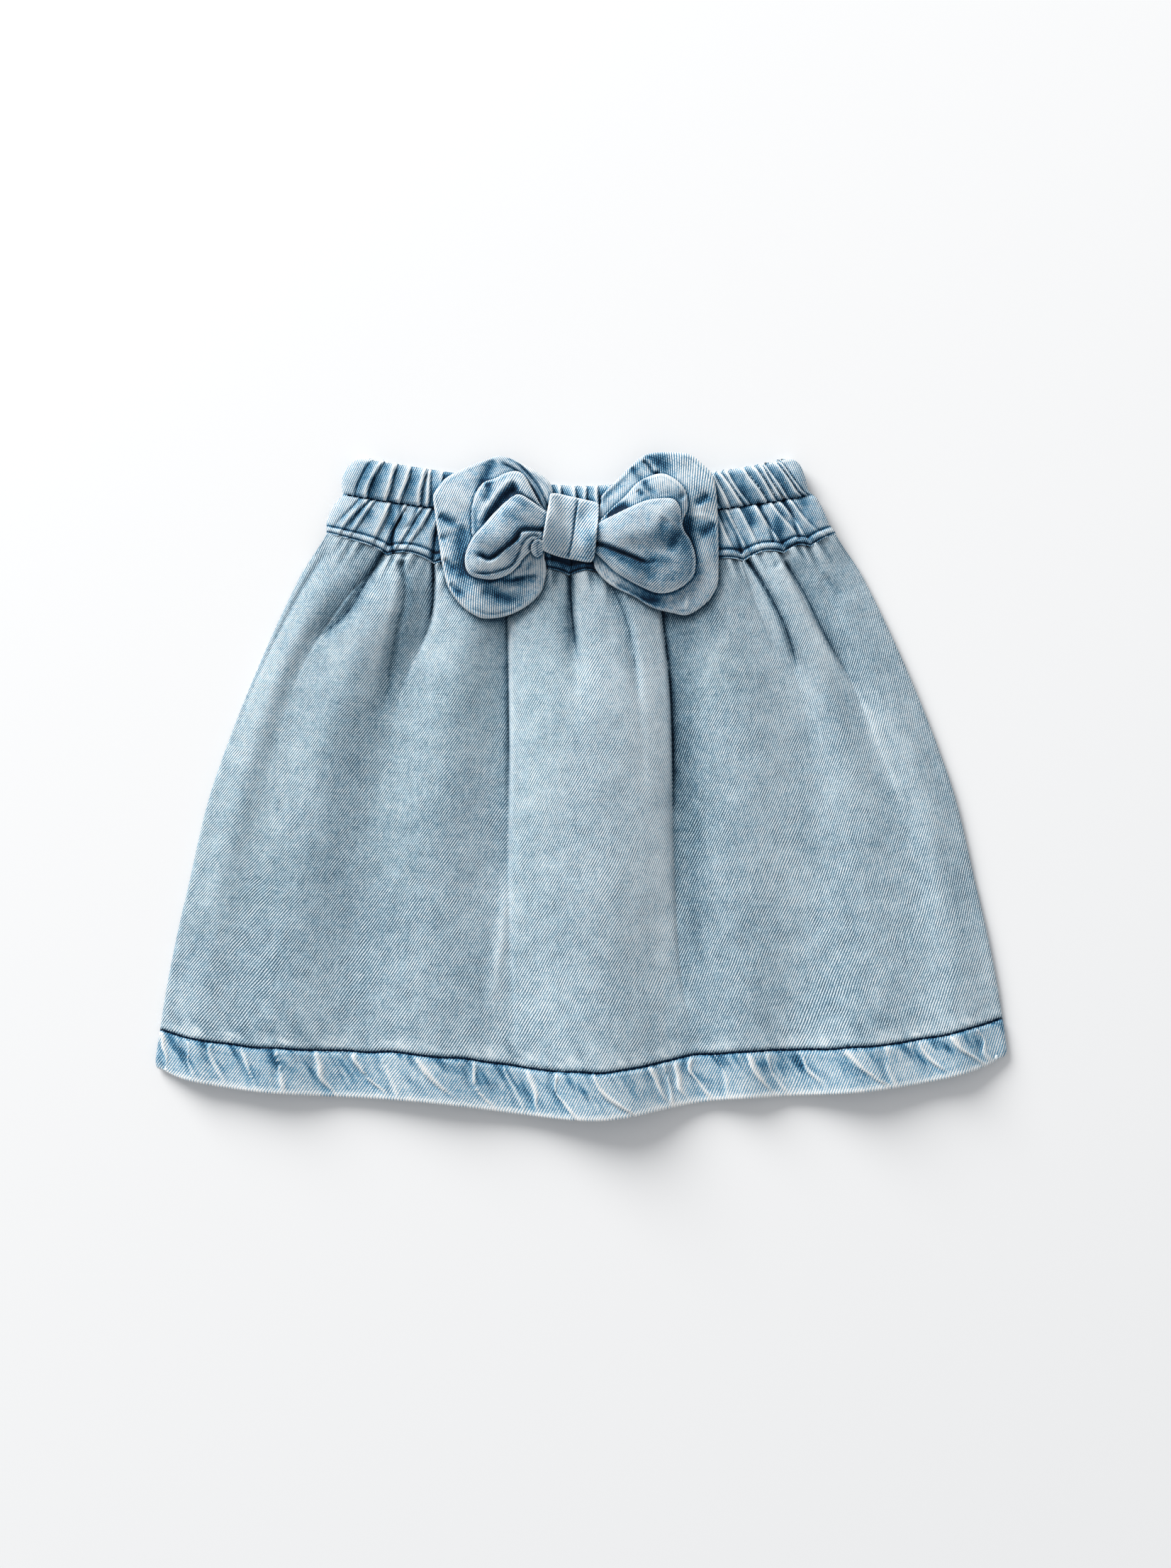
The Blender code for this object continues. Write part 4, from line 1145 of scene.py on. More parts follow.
class Bed:
    """A soft bed over finished pieces: their top, bridged over its hollows, read anywhere under the bow."""

    pitch = 1.5
    low, high = (-68.0, 66.0), (64.0, 148.0)

    def __init__(self, pieces, level, bridge, rounds):
        ground = Ground(*pieces)
        self.xs = np.arange(self.low[0], self.high[0], self.pitch)
        self.ys = np.arange(self.low[1], self.high[1], self.pitch)
        heights = ground.heights(*np.meshgrid(self.xs, self.ys), level)
        for _ in range(bridge):
            heights = raised(heights)
        self.heights = smoothed(heights, rounds)

    def under(self, x, y):
        column = np.clip((x - self.xs[0]) / self.pitch, 0, len(self.xs) - 1.001)
        row = np.clip((y - self.ys[0]) / self.pitch, 0, len(self.ys) - 1.001)
        left, low = column.astype(int), row.astype(int)
        a, b = column - left, row - low
        h = self.heights
        lower = h[low, left] * (1 - a) + h[low, left + 1] * a
        upper = h[low + 1, left] * (1 - a) + h[low + 1, left + 1] * a
        return lower * (1 - b) + upper * b


class Finish:
    """A material's nodes, added and joined one by one."""

    def __init__(self, name):
        self.material = bpy.data.materials.new(name)
        self.material.use_nodes = True
        self.tree = self.material.node_tree
        self.shader = self.tree.nodes["Principled BSDF"]

    def add(self, kind, inputs=(), **settings):
        node = self.tree.nodes.new(kind)
        for key, value in settings.items():
            setattr(node, key, value)
        for key, value in dict(inputs).items():
            self.give(node, key, value)
        return node.outputs[0]

    def give(self, node, key, value):
        if isinstance(value, bpy.types.NodeSocket):
            self.tree.links.new(value, node.inputs[key])
        else:
            node.inputs[key].default_value = value

    def math(self, operation, a, b=0.0, c=0.0, clamp=False):
        return self.add("ShaderNodeMath", {0: a, 1: b, 2: c}, operation=operation, use_clamp=clamp)

    def vector(self, operation, a, b):
        return self.add("ShaderNodeVectorMath", {0: a, 1: b}, operation=operation)

    def noise(self, vector, scale, detail=2.0, roughness=0.55):
        return self.add(
            "ShaderNodeTexNoise",
            {"Vector": vector, "Scale": scale, "Detail": detail, "Roughness": roughness},
            noise_dimensions="2D",
        )

    def attribute(self, name):
        node = self.tree.nodes.new("ShaderNodeAttribute")
        node.attribute_name = name
        return node.outputs["Fac"]

    def ramp(self, value, stops):
        node = self.tree.nodes.new("ShaderNodeValToRGB")
        self.tree.links.new(value, node.inputs[0])
        elements = node.color_ramp.elements
        elements[0].position, elements[0].color = stops[0][0], (*linear(stops[0][1]), 1)
        elements[1].position, elements[1].color = stops[-1][0], (*linear(stops[-1][1]), 1)
        for place, colour in stops[1:-1]:
            elements.new(place).color = (*linear(colour), 1)
        return node.outputs[0]

    def relief(self, height, strength, depth):
        """Gives the surface a fine relief, its depth in millimetres."""
        bump = self.add("ShaderNodeBump", {"Height": height, "Strength": strength, "Distance": depth * MM})
        self.give(self.shader, "Normal", bump)

    def gloss(self, **shares):
        """Sets the surface's roughness, specular and sheen shares."""
        for name, share in shares.items():
            self.shader.inputs[GLOSS_INPUTS[name]].default_value = share


def linear(colour):
    """A screen colour from 0 to 255 as the renderer's own linear colour."""
    shares = [part / 255 for part in colour]
    return [part / 12.92 if part <= 0.04045 else ((part + 0.055) / 1.055) ** 2.4 for part in shares]


def denim(name, tone, line, mottle=0.27, wash=WASH):
    """Washed twill: fine diagonal lines, each broken into short floats, under a cloudy wash.

    tone is how pale it is, line how strong the twill's lines are and mottle how uneven the wash is.
    """
    f = Finish(name)
    plane = f.add("ShaderNodeUVMap", uv_map="cloth")
    place = plane
    for scale, reach in WEAVE_BENDS:
        bend = f.noise(plane, scale, 2.0, 0.5).node.outputs["Color"]
        shift = f.vector("SUBTRACT", bend, (0.5, 0.5, 0.5))
        shift = f.add("ShaderNodeVectorMath", {0: shift, "Scale": reach}, operation="SCALE")
        place = f.vector("ADD", place, shift)
    a = math.radians(TWILL_ANGLE)
    over = f.vector("DOT_PRODUCT", place, (math.sin(a), -math.cos(a), 0)).node.outputs["Value"]
    run = f.vector("DOT_PRODUCT", place, (math.cos(a), math.sin(a), 0)).node.outputs["Value"]

    turns = f.math("DIVIDE", over, TWILL_PITCH)
    rib = f.math("SINE", f.math("MULTIPLY", turns, math.tau))
    groove = f.math("POWER", f.math("MULTIPLY_ADD", rib, -0.5, 0.5), 1.6)
    fade = f.math("MULTIPLY_ADD", f.math("SUBTRACT", f.noise(plane, 0.3), 0.5), 1.4, 1.0)
    lines = f.math("MULTIPLY", f.math("MULTIPLY_ADD", groove, -2.0, 0.8), fade)
    floats = f.math("DIVIDE", run, FLOAT_LENGTH)
    floats = f.math("ADD", floats, f.math("MULTIPLY", f.math("FLOOR", turns), FLOAT_STEP))
    beads = f.math("SINE", f.math("MULTIPLY", floats, math.tau))

    fibre = f.noise(place, 2.4, 3.0, 0.7)
    cloud = f.noise(plane, 0.035, 4.0, 0.6)
    blotch = f.noise(plane, 0.16, 4.0, 0.65)
    speck = f.noise(plane, 0.6, 3.0, 0.7)
    warp = f.noise(f.vector("MULTIPLY", place, (1.1, 0.09, 1.0)), 1.0, 3.0, 0.65)
    weft = f.noise(f.vector("MULTIPLY", place, (0.1, 1.2, 1.0)), 1.0, 3.0, 0.65)
    slant_x, slant_y = f.math("MULTIPLY", over, 0.75), f.math("MULTIPLY", run, 0.22)
    slant = f.add("ShaderNodeCombineXYZ", {0: slant_x, 1: slant_y})
    flecks = f.math("MAXIMUM", f.math("SUBTRACT", f.noise(slant, 1.0, 3.0, 0.6), 0.56), 0.0)
    flecks = f.math("MULTIPLY", flecks, f.math("MULTIPLY_ADD", blotch, 2.0, -0.3, clamp=True))

    total = f.math("MULTIPLY_ADD", lines, line, tone)
    total = f.math("MULTIPLY_ADD", f.math("MULTIPLY", beads, f.math("MAXIMUM", rib, 0.0)), line * 0.36, total)
    uneven = (
        (fibre, line * 1.3),
        (cloud, mottle),
        (blotch, mottle * 1.1),
        (speck, mottle * 1.15),
        (warp, mottle * 0.7),
        (weft, mottle * 0.6),
    )
    for noise, amount in uneven:
        total = f.math("MULTIPLY_ADD", f.math("SUBTRACT", noise, 0.5), amount, total)
    total = f.math("MULTIPLY_ADD", flecks, -mottle * 2.0, total)
    # The attributes pale the wash where the cloth is worn and darken it where it is bluer and where shade is
    # painted; below zero they paint light.
    total = f.math("MULTIPLY_ADD", f.attribute("worn"), WASH_REACH, total)
    total = f.math("MULTIPLY_ADD", f.attribute("dye_and_shade"), -WASH_REACH, total)
    # Thin dark lines: painted shade in creases, and a dark line along the hem's stitches.
    across = f.math("DIVIDE", f.attribute("line"), DARK_LINE_WIDTH)
    drawn = f.math("EXPONENT", f.math("MULTIPLY", f.math("MULTIPLY", across, across), -1.0))
    drawn = f.math("MULTIPLY", drawn, f.attribute("ink"))
    total = f.math("MULTIPLY_ADD", drawn, -WASH_REACH, total, clamp=True)
    f.give(f.shader, "Base Color", f.ramp(total, wash))

    height = f.math("MULTIPLY_ADD", fibre, 1.2, f.math("MULTIPLY_ADD", beads, 0.2, rib))
    f.relief(height, strength=0.55, depth=0.1)
    f.gloss(roughness=0.92, specular=0.18, sheen=0.12, sheen_roughness=0.5)
    return f.material


def thread_finish():
    """Sewing thread, with a fine twist in its colour and relief."""
    f = Finish("navy_thread")
    place = f.add("ShaderNodeTexCoord").node.outputs["Object"]
    twist = f.add("ShaderNodeTexNoise", {"Vector": place, "Scale": 1800.0, "Detail": 2.0})
    f.give(f.shader, "Base Color", f.ramp(twist, NAVY_THREAD))
    f.relief(twist, strength=0.5, depth=0.08)
    f.gloss(roughness=0.95, specular=0.05)
    return f.material


def seam_gathers(fan, from_seam):
    """The relief of the short gathers that run down from the seam, some further than others."""
    relief = np.zeros(fan.shape)
    for number, (_, at, strength) in enumerate(LOWER_GATHERS):
        away = fan - at
        fade = 1 - smooth(from_seam / (10 + 15 * scattered(number)))
        relief += fade * strength * (0.75 * bell(away, 1.6) - 0.6 * bell(away - 2.6, 1.2))
    return relief


def front_points(v, density=1):
    """The front's outer face at rows v, which reach the hem's stitches at HEM_AT and its edge at 1.

    calm are the same points without their fine relief, for the weave. from_seam and from_hem are each
    point's distance from the seam and from the hem's edge, roping is the hem's relief, and fan is the
    place along the seam from which the flare has carried the point.
    """
    x, z = front_form(v, density)
    half = half_width(v)[:, None]
    u = x / half
    x = u * (half - SIDE_ROLL)
    top, foot = seam_y(u), hem_y(u)
    sewn = foot + hem_depth(u)
    above, below = (v / HEM_AT)[:, None], ((v - HEM_AT) / (1 - HEM_AT))[:, None]
    y = np.where(v[:, None] < HEM_AT, top + (sewn - top) * above, sewn + (foot - sewn) * below)
    from_seam, from_hem = top - y, (y - foot) * HEM_DEPTH / hem_depth(u)
    corner = HEM_CORNER * quarter_round((1 - below) / HEM_CORNER_AT)
    x = x - np.sign(u) * np.abs(u) ** HEM_CORNER_POWER * corner
    calm = np.stack([x, y, z], axis=2)

    fan = x / (half - SIDE_ROLL) * SEAM_HALF
    z = z + seam_gathers(fan, from_seam) + sum(press(x, y, crease) for crease in FRONT_CREASES.values())
    z += 0.35 * drift(x, y, 46, 3) * smooth(from_seam / 20) + 0.12 * drift(x, y, 14, 4)

    # The hem's double cloth stands a little proud, and is drawn in by its stitches and by ropes on the slant.
    z += HEM_PROUD * smooth((HEM_DEPTH - from_hem) / 1.6) - HEM_GROOVE * bell(from_hem - HEM_DEPTH, 1.0)
    in_hem = smooth((HEM_DEPTH + 5 - from_hem) / 6)
    roping = hem_ropes(x, from_hem) * in_hem * (0.3 + 0.7 * smooth(from_hem / 3.0))
    points = np.stack([x, y, z + roping], axis=2)
    return SimpleNamespace(
        points=points, calm=calm, from_seam=from_seam, from_hem=from_hem, roping=roping, fan=fan,
    )


def seam_wash(relief, from_seam):
    """The short gathers at the seam: their crests are worn and their hollows blue."""
    near_seam = 1 - smooth(from_seam / 16)
    return 0.45 * near_seam * np.clip(relief / 0.35, -0.5, 1), 0.3 * near_seam * smooth(-relief / 0.2)


def hem_wash(front):
    """The hem: worn ropes and edge, blue streaks on the slant, and pale clouds above the stitches."""
    x, y = front.points[:, :, 0], front.points[:, :, 1]
    from_hem, roping = front.from_hem, front.roping
    in_hem = smooth((HEM_DEPTH + 0.6 - from_hem) / 1.2)
    slant = x + 0.75 * from_hem
    cloud = (0.35 + smooth(0.4 + 0.8 * drift(x, y, 16, 23))) * bell(from_hem - HEM_DEPTH - 3.0, 3.0)
    cloud *= 0.5 + 0.5 * drift(slant, from_hem, 4.5, 24)
    worn = 0.8 * in_hem * np.clip(roping / 0.6, -0.2, 1) + 0.6 * bell(from_hem, 1.4) + 0.7 * cloud
    streaks = drift(slant, from_hem * 0.35, 10, 21) + 0.6 * drift(slant, from_hem * 0.5, 5, 22)
    upper_hem = 0.2 + 0.8 * smooth((from_hem - 3) / 9)
    dye_and_shade = 0.85 * in_hem * upper_hem * smooth(0.1 + 0.8 * streaks) * smooth(0.8 - roping / 0.3)
    above_hem = bell(from_hem - HEM_DEPTH - 7, 6) * (from_hem > HEM_DEPTH)
    dye_and_shade += 0.3 * above_hem * smooth(0.1 + drift(slant, from_hem * 0.4, 9, 26))
    dye_and_shade += 0.5 * bell(from_hem - HEM_DEPTH, 1.1)
    return worn, dye_and_shade


def front_wash(front, from_seam):
    """Where the front is worn white and where it is blue, with painted shade beside its creases and under
    the bow, and patches of painted shade and painted light.
    """
    x, y, z = (front.points[:, :, axis] for axis in range(3))
    seam_worn, seam_dyed = seam_wash(z - smoothed(z, 14), from_seam)
    hem_worn, hem_dyed = hem_wash(front)
    worn, dye_and_shade = seam_worn + hem_worn, seam_dyed + hem_dyed
    for crease in FRONT_CREASES.values():
        worn += 0.25 * np.clip(press(x, y, crease) / 0.6, 0, 1)
        dye_and_shade += shade(x, y, crease)
    # Patches of painted shade and painted light.
    dye_and_shade += blots(x, y, FRONT_SHADE_AND_LIGHT)
    # Painted shadow under the edges of the bow.
    dye_and_shade += 0.4 * contact_shade(x, y, UNDER_BOW, 2.6) + 0.5 * contact_shade(x, y, UNDER_BOW, CONTACT)
    return worn, dye_and_shade


def front_ink(front, from_seam):
    """The front's thin dark lines: painted shade in its sharp creases and in the short ones at the seam,
    and a dark line along the hem's stitches.
    """
    x, y = front.points[:, :, 0], front.points[:, :, 1]
    ink = DarkLines(x)
    for number, (_, at, strength) in enumerate(LOWER_GATHERS):
        length = 3.5 + 6 * scattered(number, start=0.3)
        lean = 0.16 * np.sin(number * 2.4) * from_seam
        ink.add(front.fan - at - CREST_WIDTH + lean, 0.6 * strength * (1 - smooth(from_seam / length)))
    for crease in FRONT_CREASES.values():
        if "ink" in crease:
            signed, share = lie(x, y, crease["route"])
            ink.add(signed, crease["ink"] * strength_along(share, crease))
    ink.add(front.from_hem - HEM_DEPTH, np.full(x.shape, HEM_LINE_DARKNESS))
    return ink.values()


def front_layers(front, from_seam):
    worn, dye_and_shade = front_wash(front, from_seam)
    line, ink = front_ink(front, from_seam)
    return {"worn": widen(worn), "dye_and_shade": widen(dye_and_shade), "line": widen(line), "ink": widen(ink)}


def front_panel(finish, hem_finish, lining):
    """The front in two meshes: the body, and its hem in a finer grid, which the hem's stitches part."""
    body_rows = row_places((0.12, 40), (0.3, 36), (0.893, 62), (HEM_AT, 16))
    hem_rows = np.linspace(HEM_AT, 1.0, 27)
    front = front_points(np.concatenate([body_rows, hem_rows[1:]]))
    plan = cloth_plan(front.calm, WEAVE_LEAN)
    count = len(body_rows)
    layers = {name: values[:count] for name, values in front_layers(front, front.from_seam).items()}
    body = sheet_mesh("front_denim", roll_sides(front.points[:count]), spread(plan[:count]), layers)
    put(body, finish, lining)

    fine = front_points(hem_rows, density=2.0)
    fine_plan = np.empty((*fine.fan.shape, 2))
    for row, x in enumerate(fine.points[:, :, 0]):
        coarse = count - 1 + row
        for axis in range(2):
            fine_plan[row, :, axis] = np.interp(x, front.points[coarse, :, 0], plan[coarse, :, axis])
    fine_layers = front_layers(fine, np.full(fine.fan.shape, FAR_FROM_SEAM))
    rows = turned_in(len(hem_rows), len(hem_rows) - 1, 2)
    folded = fold_under(roll_sides(fine.points), HEM_FOLD, rows)
    turned = folded[len(hem_rows):, :, 2]
    turned[:] = np.maximum(turned, INNER_FLOOR)
    layers = {name: lengthen(values, rows) for name, values in fine_layers.items()}
    hem = sheet_mesh("front_hem", folded, lengthen(spread(fine_plan), rows), layers)
    put(hem, hem_finish, lining)
    return body, hem


def back_panel(finish, lining):
    """The back: it lies face down, so its grid runs from right to left."""
    v = row_places((0.9, 40), (1.0, 16))
    u = np.linspace(1, -1, 121)[None, :]
    foot = HEM_Y + hem_rise(u) + BACK_SHORTER
    top = SEAM_Y + SEAM_RISE * u * u - PINCH_DROP
    x = u * (half_width(v)[:, None] - BACK_NARROWER)
    y = top + (foot - top) * v[:, None]
    points = np.stack([x, y, np.zeros_like(x)], axis=2)
    rows = turned_in(len(points), 16, 2)
    folded = fold_under(points, BACK_FOLD, rows)
    from_hem = y - foot
    into_hem = HEM_DEPTH - from_hem
    worn = 0.8 * bell(from_hem, 1.6) + 0.2 * drift(x, y, 12, 8) * smooth(into_hem / 4)
    layers = {"worn": lengthen(worn, rows), "dye_and_shade": lengthen(0.25 * smooth(into_hem / 3), rows)}
    piece = sheet_mesh("back_denim", folded, cloth_plan(folded, 0.0), layers)
    return put(piece, finish, lining)


def band_xy(u, w):
    """A point of the band: w is 0 at the waist's edge, STITCH_W at the stitches and 1 at the seam."""
    edge = np.stack([u * WAIST_HALF, WAIST_Y + WAIST_RISE * np.abs(u) ** WAIST_RISE_POWER], axis=-1)
    stitch = np.stack([u * STITCH_HALF, STITCH_Y + STITCH_RISE * np.abs(u) ** STITCH_RISE_POWER], axis=-1)
    seam = np.stack([u * SEAM_HALF, seam_y(u) + 0.3], axis=-1)
    upper, lower = (w / STITCH_W)[..., None], ((w - STITCH_W) / (1 - STITCH_W))[..., None]
    in_upper, in_lower = edge + (stitch - edge) * upper, stitch + (seam - stitch) * lower
    place = np.where(w[..., None] < STITCH_W, in_upper, in_lower)
    # The top corners are round, and each channel bulges a little past the stitches.
    bulge = np.abs(np.sin(math.tau * w)) * np.where(u < 0, LEFT_BULGE, RIGHT_BULGE)
    corner = CORNER_ROUND * quarter_round(w / CORNER_AT)
    place[..., 0] += (bulge - corner) * np.abs(u) ** CORNER_POWER * np.sign(u)
    # The right end of the casing is drawn in further than the left one.
    in_casing = 1 - smooth((w - 0.42) / 0.14)
    drawn = CASING_DRAW * in_casing + CHANNEL_DRAW * (1 - in_casing) * (1 - smooth((w - 0.85) / 0.15))
    place[..., 0] -= drawn * np.clip((u - DRAW_FROM) / (1 - DRAW_FROM), 0, 1) ** DRAW_POWER
    return place


def both_channels(across, w, upper_spread=1.0):
    """The gathers of the upper and the lower channel in pairs: their reliefs, crests and hollows."""
    upper = gathered(across * upper_spread, UPPER_GATHERS, w / STITCH_W)
    lower = gathered(across * LOWER_SPREAD, LOWER_GATHERS, (w - STITCH_W) / (1 - STITCH_W))
    return zip(upper, lower)


def seam_cord(w):
    """The cord along the seam, and the two lines beside it."""
    return bell(w - SEAM_CORD, 0.026), bell(w - SEAM_CORD + 0.04, 0.011) + bell(w - SEAM_CORD - 0.036, 0.010)


def band_height(u, w, relief):
    """How high the band's front stands: two puffed channels with gathers, and the seam's cord."""
    cord, lines = seam_cord(w)
    puff = np.sin(math.pi * np.clip(w * 2, 0, 1)) + 0.8 * np.sin(math.pi * np.clip(w * 2 - 1, 0, 1))
    z = BAND_REST_Z + CHANNEL_PUFF * puff + relief - STITCH_GROOVE * bell(w - STITCH_W, 0.022)
    form_x, form_z = front_form(np.array([0.0]))
    seam_z = np.interp(u * SEAM_HALF, form_x[0], form_z[0])
    z += (seam_z + 0.5 - BAND_REST_Z) * smooth((w - 0.72) / 0.28) + 0.5 * cord - 0.75 * lines
    return z - (z - BAND_END_Z) * quarter_round((1 - np.abs(u)) * WAIST_HALF / BAND_END_ROUND)


def band_wash(x, y, w, crests, hollows, pressed):
    """Where the band's front is worn white and where it is blue, with painted shade in its creases,
    its pleats' ditches and the seam's crevice, and painted shadow under the bow.
    """
    cord, lines = seam_cord(w)
    off_cord = 1 - smooth((w - 0.88) / 0.03)
    worn = 0.85 * crests * (0.4 + 0.6 * off_cord) + 0.35 * bell(w, 0.02) + 0.22 * cord
    patches = smooth(0.5 + 0.5 * drift(x, y * 0.6, 11, 12) + 0.35 * drift(x, y, 5, 13))
    blue = np.where(w < STITCH_W, 0.62 + 0.30 * patches, 0.22 + 0.7 * patches)
    # Painted shade in the pleats' ditches, in the creases and in the seam's crevice beside its cord.
    dye_and_shade = hollows * blue * (0.5 + 0.5 * off_cord) + 1.3 * lines + 0.7 * np.clip(-pressed / 1.2, 0, 1.4)
    dye_and_shade += 0.6 * bell(w - STITCH_W, 0.016) + blots(x, y, BAND_BLUE_AND_SHADE)
    # Painted shadow under the edges of the bow.
    dye_and_shade += 0.7 * contact_shade(x, y, UNDER_BOW, 1.6) + 0.6 * contact_shade(x, y, UNDER_BOW, CONTACT)
    return worn, dye_and_shade


def waistband_front(finish, lining):
    """The front of the band, with its top edge turned in."""
    w = row_places((0.08, 6), (0.42, 18), (0.58, 16), (0.9, 16), (1.0, 22))
    u, w = np.meshgrid(np.linspace(-1, 1, 461), w)
    x, y = np.moveaxis(band_xy(u, w), -1, 0)
    is_upper = smooth((0.51 - w) / 0.02)
    is_lower = (1 - is_upper) * (1 - 0.5 * smooth((w - 0.6) / 0.4))
    channels = both_channels(u * STITCH_HALF, w, UPPER_SPREAD)
    relief, crests, hollows = (upper * is_upper + lower * is_lower for upper, lower in channels)
    relief *= (1 - 0.5 * bell(w - STITCH_W, 0.03)) * (0.4 + 0.6 * smooth(w / 0.07))
    y = y + 0.5 * relief * smooth((0.12 - w) / 0.12)
    pressed = sum(press(x, y, crease) for crease in BAND_CREASES.values())
    points = np.stack([x, y, band_height(u, w, relief) + pressed], axis=2)
    worn, dye_and_shade = band_wash(x, y, w, crests, hollows, pressed)
    rows = turned_in(len(points), 32, 3)
    folded = fold_under(points[::-1], BAND_FOLD, rows, facing=-1)[::-1]
    turned = folded[: len(folded) - len(points), :, 2]
    turned[:] = np.maximum(turned, BAND_INNER_FLOOR)
    plan = folded[:, :, :2] * np.array([BAND_CLOTH_SPARE, 1.0])
    layers = {"worn": lengthen_top(worn, rows), "dye_and_shade": lengthen_top(dye_and_shade, rows)}
    piece = sheet_mesh("band_front_denim", folded, plan, layers)
    return put(piece, finish, lining)


def waistband_back(finish, lining):
    """The back of the band: it lies face down, gathered like the front's, with its top edge turned over."""
    w = row_places((0.06, 5), (0.44, 14), (0.56, 12), (0.94, 14), (1.0, 6))
    u, w = np.meshgrid(np.linspace(1, -1, 261), w)
    x, y = np.moveaxis(band_xy(u * 0.988, w * 0.985), -1, 0)
    channels = both_channels(-u * STITCH_HALF, w)
    relief, crests, hollows = (np.where(w < STITCH_W, upper, lower) for upper, lower in channels)
    z = 0.1 + 0.7 * smooth(0.8 - relief / 1.2) + 0.4 * bell(w - STITCH_W, 0.03)
    points = np.stack([x, y, z], axis=2)
    rows = turned_in(len(points), 20, 3)
    face_down = np.array([1.0, 1.0, -1.0])
    folded = fold_under(points[::-1] * face_down, BACK_FOLD, rows)[::-1] * face_down
    worn = 0.6 * crests + 0.35 * bell(w, 0.03)
    layers = {"worn": lengthen_top(worn, rows), "dye_and_shade": lengthen_top(0.5 * hollows, rows)}
    piece = sheet_mesh("band_back_denim", folded, cloth_plan(folded, 0.0), layers)
    return put(piece, finish, lining)


def outline_reach(outline, hub, angles):
    """How far an outline lies from its hub at each angle, on a smooth line through its points."""
    points = np.asarray(outline, float) - np.asarray(hub, float)
    before, after, beyond = (np.roll(points, places, axis=0) for places in (1, -1, -2))
    line = [on_curve(before, points, after, beyond, t) for t in np.arange(8) / 8]
    line = np.stack(line, axis=1).reshape(-1, 2)
    turns = np.arctan2(line[:, 1], line[:, 0])
    order = np.argsort(turns)
    return np.interp(angles, turns[order], np.hypot(line[:, 0], line[:, 1])[order], period=math.tau)


def contact_shade(x, y, layer, reach):
    """How near each x, y is to the edge of a bag that lies above this layer: there painted contact shadow
    falls, a little darker on the bag's lower side.
    """
    blue = np.zeros(np.shape(x))
    for facts in BOW:
        if facts["layer"] <= layer:
            continue
        dx, dy = x - facts["hub"][0], y - facts["hub"][1]
        outside = np.hypot(dx, dy) - outline_reach(facts["outline"], facts["hub"], np.arctan2(dy, dx))
        low_side = 0.75 + 0.25 * np.clip(-dy / 20, -1, 1)
        blue = np.maximum(blue, low_side * bell(np.maximum(outside, 0), reach))
    return blue


def drawn_in(x, y):
    """How far the knot lets a bag puff up at x, y: little beside it and fully further out."""
    from_knot = np.hypot(x - KNOT_MIDDLE[0], (y - KNOT_MIDDLE[1]) * 1.2)
    return 1 - KNOT_PULL * smooth((KNOT_FAR - from_knot) / (KNOT_FAR - KNOT_NEAR))


def bag_wash(facts, x, y, edge, inside, creased, puff):
    """Where a bag is worn white and where it is blue, with painted shade in and around its creases
    and painted shadow under the bags above. Its seam is a blue line just inside its edge.
    """
    worn = 0.5 * bell(edge, 1.0) + 0.55 * np.clip(creased / 0.8, 0, 0.8) + blots(x, y, facts["pale_spots"])
    worn += 0.16 * np.clip(drift(x, y, 16, 33), -0.4, 1) + 0.16 * puff / facts["puff"]
    # Painted shade in the creases' hollows, and the patches of painted shade and blue.
    dye_and_shade = 0.06 + 0.8 * np.clip(-creased / 1.2, 0, 1.4) * inside + blots(x, y, facts["shade_and_dye"])
    # Painted shadow under the edges of the bags above this one.
    dye_and_shade += 0.65 * contact_shade(x, y, facts["layer"], 1.3) + 0.8 * contact_shade(x, y, facts["layer"], CONTACT)
    dye_and_shade += 0.32 * bell(edge - BAG_SEAM_IN, BAG_SEAM_WIDTH) * smooth(0.6 + drift(x, y, 26, 34))
    # A halo of painted shade around each deep crease.
    for crease in facts["creases"]:
        signed, share = lie(x, y, crease["route"])
        halo = bell(signed, 2.4 * crease["width"] + 1.2) * strength_along(share, crease)
        dye_and_shade += 0.24 * np.clip(crease["depth"] / 2, 0, 1) * halo
    return worn, dye_and_shade


